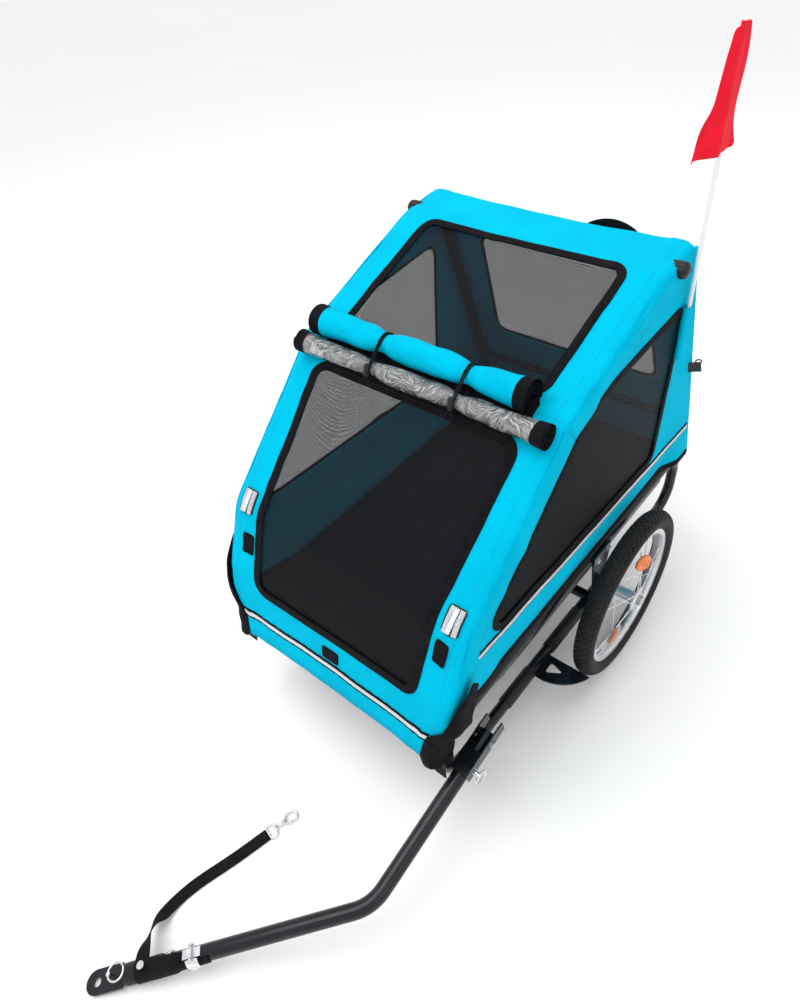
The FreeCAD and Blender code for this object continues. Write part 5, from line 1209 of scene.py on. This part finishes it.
def make_mat():
    """The floor mat with its binding, and the cloth that closes the gap from the floor to the walls."""
    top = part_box("floor_panel")[1][2] / MM
    half, front, rear = MAT_HALF, MAT_FRONT, MAT_REAR

    def place(x, y, h=0.0):
        return at(x, y, top + MAT_TOP + h + 1.2 * soft_noise(x / 90, y / 90, 8.0))

    outline = rectangle(half, front, rear, 25)
    mat = Shape().sheet([outline], place, 26)
    obj = mat.piece("floor_mat", "mat", "chassis", thick=4.0)
    edge = Shape().band(outline, place, [(-1, 0.2), (0, 1.4), (9, 1.4), (10, 0.2)], step=20)
    edge.piece("floor_mat_binding", "tape", "chassis", thick=0.8)

    gusset = Shape()
    for sign in SIGNS:
        rows = []
        for y in np.linspace(-556, 390, 80):
            wall = on_side(sign)(y, SIDE_HEM_Z + 3, -2.5)
            rows.append([at(sign * (half - 2), y, top + 3), at(sign * (half + 8), y, top + 3.5), wall])
        gusset.grid(rows[::-sign])
    front_low = FRONT.find(1, top + 6)
    for way, edge, reach in ((1, rear, half), (-1, front, half + 14)):
        rows = []
        for x in np.linspace(-reach, reach, 40):
            wall = on_rear(x, 12, -2.5) if way > 0 else on_front(x, front_low, -5)
            rows.append([at(x, edge - 4 * way, top + 3), at(x, edge + 10 * way, top + 3.5), wall])
        gusset.grid(rows[::way])
    gusset.piece("floor_gusset", "mat", "chassis", thick=1.2)


make_base_fittings()
make_mat()


# Drawbar

BAR_BEND, BAR_END = Vector((293, -807, 112.08)), Vector((-12.47, -1152.27, 18.29))
BAR_AXIS = (BAR_END - BAR_BEND).normalized()
BAR_UP = (UP - BAR_AXIS * BAR_AXIS.z).normalized()
BAR_SIDE = BAR_AXIS.cross(UP).normalized()
TUBE_R, COLLAR_R, COLLAR_LENGTH, COLLAR_RIBS = 15, 18.05, 76, (6, 13, 20)
RIB = ((0, 0), (1, 0.7), (3, 0.7), (4, 0))
PAD_START, PAD_END, PAD_TAIL, PAD_RISE, BAND_AT = 26, 114, 168, 2.6, 84
RING_AT, TONGUE_HALF, TONGUE_STEPS, TONGUE_RISE, RIVET_TURN = 136, 11.5, 12, 4.6, -84
BAND_SECTION = ((0, 17.6), (0, 18.4), (0.8, 18.8), (9.2, 18.8), (10, 18.4), (10, 17.6))


def on_bar(distance, up=0.0, side=0.0):
    """A point a distance back from the bar's end, with offsets up and sideways."""
    p = BAR_END - BAR_AXIS * distance + BAR_UP * up + BAR_SIDE * side
    return at(p.x, p.y, p.z)


def round_bar(distance, radius, degrees):
    a = radians(degrees)
    return on_bar(distance, radius * cos(a), radius * sin(a))


def make_bar_dress():
    """The ribbed collar, the webbing round the bar, the ring's tongue with its rivet, and a steel band."""
    profile = [(0, TUBE_R + 0.3), (0, 17), (1.5, COLLAR_R)]
    for rib in COLLAR_RIBS:
        profile += [(rib + along, COLLAR_R + rise) for along, rise in RIB]
    profile += [(COLLAR_LENGTH - 4, COLLAR_R), (COLLAR_LENGTH, 16.6), (COLLAR_LENGTH, TUBE_R + 0.1)]
    collar = Shape().lathe(profile, on_bar(0), -BAR_AXIS)
    collar.piece("collar_moulding", "plastic", "drawbar", ["drawbar_collar"], solid=True, sharp=30)

    pad = Shape()
    for first, last, low, high in ((PAD_START, PAD_END, -100, 24), (PAD_END - 4, PAD_TAIL, -100, -38)):
        angles = np.linspace(low, high, 9)
        rows, uvs = [], []
        for d in np.arange(first, last + 0.1, 4):
            step = ease((d - 98) / 14)
            r = COLLAR_R * (1 - step) + TUBE_R * step + PAD_RISE
            rows.append([round_bar(d, r, a) for a in angles])
            uvs.append([(d * MM, radians(a) * 0.018) for a in angles])
        pad.grid(rows[::-1], uvs=uvs[::-1])
    pad.piece("bar_webbing", "webbing", "drawbar", thick=1.6)

    r = TUBE_R + TONGUE_RISE
    rows = []
    for k in range(TONGUE_STEPS + 1):
        share = k / TONGUE_STEPS
        width = TONGUE_HALF * sqrt(1 - max(0.02, (share - 0.6) / 0.4) ** 2 * 0.98)
        rows.append([round_bar(RING_AT + width * w, r, -30 - 84 * share) for w in (-1, -0.6, 0, 0.6, 1)])
    tongue = Shape().grid(rows)
    rivet = round_bar(RING_AT, r, RIVET_TURN)
    tongue.lathe(((0, 5), (1.2, 4.6), (2.2, 3), (2.6, 0)), rivet, rivet - on_bar(RING_AT), 20)
    tongue.piece("ring_tongue", "chrome", "drawbar", thick=1.4)
    band = Shape().lathe(BAND_SECTION, on_bar(BAND_AT), -BAR_AXIS, 40)
    band.piece("bar_band", "chrome", "drawbar", solid=True, sharp=30)


make_bar_dress()


# Corner knobs, flag and its pocket

POLE_X, POLE_Y, SLEEVE_DROP, POCKET_SIDES = 296.9, 183.96, 95, 24
PENNANT = [(190, 1239), (148, 1236), (121, 1138), (52, 1083), (232, 1057)]
PENNANT_SLEEVE = ((0, 4.2), (0, 5.2), (3, 5.5), (165, 5.5), (168, 5.2), (168, 4.2))
KNOB_Y, KNOB_Z, KNOB_START, KNOB_FLUTES, FLUTE_DEPTH = 133, 887.3, 262, 10, 0.09
KNOB_PROFILE = ((0, 10), (6, 10), (8, 14.2), (11, 15), (33, 15), (37, 14), (40, 11), (41.6, 6), (42, 0.4))


def make_knobs():
    """Fluted knobs at the roof's rear corners."""
    shape = Shape()
    for sign in SIGNS:
        rows = []
        for along, r in KNOB_PROFILE:
            depth = FLUTE_DEPTH if 8 < along < 40 else 0.0
            x = sign * (KNOB_START + along)
            ring = []
            for a in turns(KNOB_FLUTES * 6):
                reach = r * (1 - depth * (0.5 + 0.5 * cos(KNOB_FLUTES * a)) ** 2)
                ring.append(at(x, KNOB_Y + reach * cos(a), KNOB_Z + reach * sin(a)))
            rows.append(ring)
        shape.grid(rows, ring=True, caps=True)
    shape.piece("corner_knob_caps", "plastic", "front_hoop", ["corner_knobs"], solid=True)


def make_flag_pocket():
    """A cloth pocket sewn to the rear edge of the side, which the pole stands in."""
    low, high = (corner[2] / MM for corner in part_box("flag_sleeve"))
    rows, uvs = [], []
    for z in np.linspace(low, high - SLEEVE_DROP, 28):
        row = []
        for a in turns(POCKET_SIDES):
            glint_pattern = 0.8 * soft_noise(a, z / 25, 6.0)
            x, y = (7.6 + glint_pattern) * cos(a), (10.5 + glint_pattern) * sin(a)
            row.append(at(POLE_X - 2 + x, POLE_Y + y, z))
        rows.append(row)
        uvs.append([(a * 0.009, z * MM) for a in turns(POCKET_SIDES)])
    shape = Shape().grid(rows, ring=True, uvs=uvs)
    shape.fill(range(POCKET_SIDES))
    shape.piece("flag_pocket", "blue", "front_hoop", ["flag_sleeve"], thick=1.0, solid=True)


def on_flag(y, z, h=0.0):
    """The pennant's waving face, hung from the pole."""
    reach = POLE_Y - y
    fold = 9 * sin(reach / 19 + (z - 1100) / 70) * min(1.0, abs(reach) / 45)
    return at(POLE_X + 5.6 + fold + h, y, z)


def make_pennant():
    shape = Shape().sheet([rounded(PENNANT, [4, 8, 40, 6, 6], closed=True)], on_flag, 6)
    obj = shape.piece("pennant_cloth", "red", "flag", ["flag_pennant"], thick=0.6)
    sleeve = Shape().lathe(PENNANT_SLEEVE, at(POLE_X, POLE_Y, 1070), UP, 16)
    hem = sleeve.piece("pennant_sleeve", "red", "flag", solid=True)
    shape.area()


make_knobs()
make_flag_pocket()
make_pennant()


# Finishes of the frame's own parts

NODE_LOOKS = {
    "paint": "side_loop_left side_loop_right floor_cross_tubes axle_beam axle_bracket_left "
             "axle_bracket_right drawbar_channel channel_inner_cheek drawbar_tube hitch_tab hoop_tube_left "
             "hoop_tube_right hoop_cross_bars rear_posts rear_brace front_hinge_brackets "
             "rear_hinge_brackets wheel_guard_left wheel_guard_right",
    "skirt": "rail_skirts",
    "steel": "drawbar_pivot_bolt hinge_pins wheel_axles ring_plate strap_bolt",
    "chrome": "drawbar_lock_pin hitch_pin tether_ring spokes_left spokes_right",
    "alloy": "hub_left hub_right",
    "mat": "floor_panel",
    "pole": "flag_pole",
}
for look, names in NODE_LOOKS.items():
    for name in names.split():
        materials = frame["nodes"][name].data.materials
        materials.clear()
        materials.append(LOOKS[look].mat)


# Studio

FLOOR_REACH, WORLD_STRENGTH, LIGHT_TARGET = 12.0, 0.92, Vector((0, 0.2, 0.4))
LIGHTS = (
    ("key", (-0.7, -0.9, 3.6), 2.6, 62),
    ("fill", (2.8, -1.2, 2.2), 2.2, 8),
    ("back", (-0.6, 2.6, 2.8), 2.4, 14),
)


def make_stage():
    """A wide white floor, an even white sky and three soft lights."""
    bpy.context.scene.view_settings.view_transform = "Standard"
    mesh = bpy.data.meshes.new("studio_floor")
    corners = [(x * FLOOR_REACH, y * FLOOR_REACH, 0) for x, y in ((-1, -1), (1, -1), (1, 1), (-1, 1))]
    mesh.from_pydata(corners, [], [(0, 1, 2, 3)])
    mesh.materials.append(LOOKS["stage"].mat)
    floor = bpy.data.objects.new("studio_floor", mesh)
    bpy.context.collection.objects.link(floor)
    world = bpy.data.worlds.new("studio")
    bpy.context.scene.world = world
    world.use_nodes = True
    sky = world.node_tree.nodes["Background"]
    sky.inputs["Color"].default_value = (1, 1, 1, 1)
    sky.inputs["Strength"].default_value = WORLD_STRENGTH
    for name, spot, size, power in LIGHTS:
        data = bpy.data.lights.new(name, "AREA")
        data.size = size
        data.energy = power
        light = bpy.data.objects.new(name, data)
        bpy.context.collection.objects.link(light)
        light.location = spot
        light.rotation_euler = (LIGHT_TARGET - Vector(spot)).to_track_quat("-Z", "Y").to_euler()


make_stage()
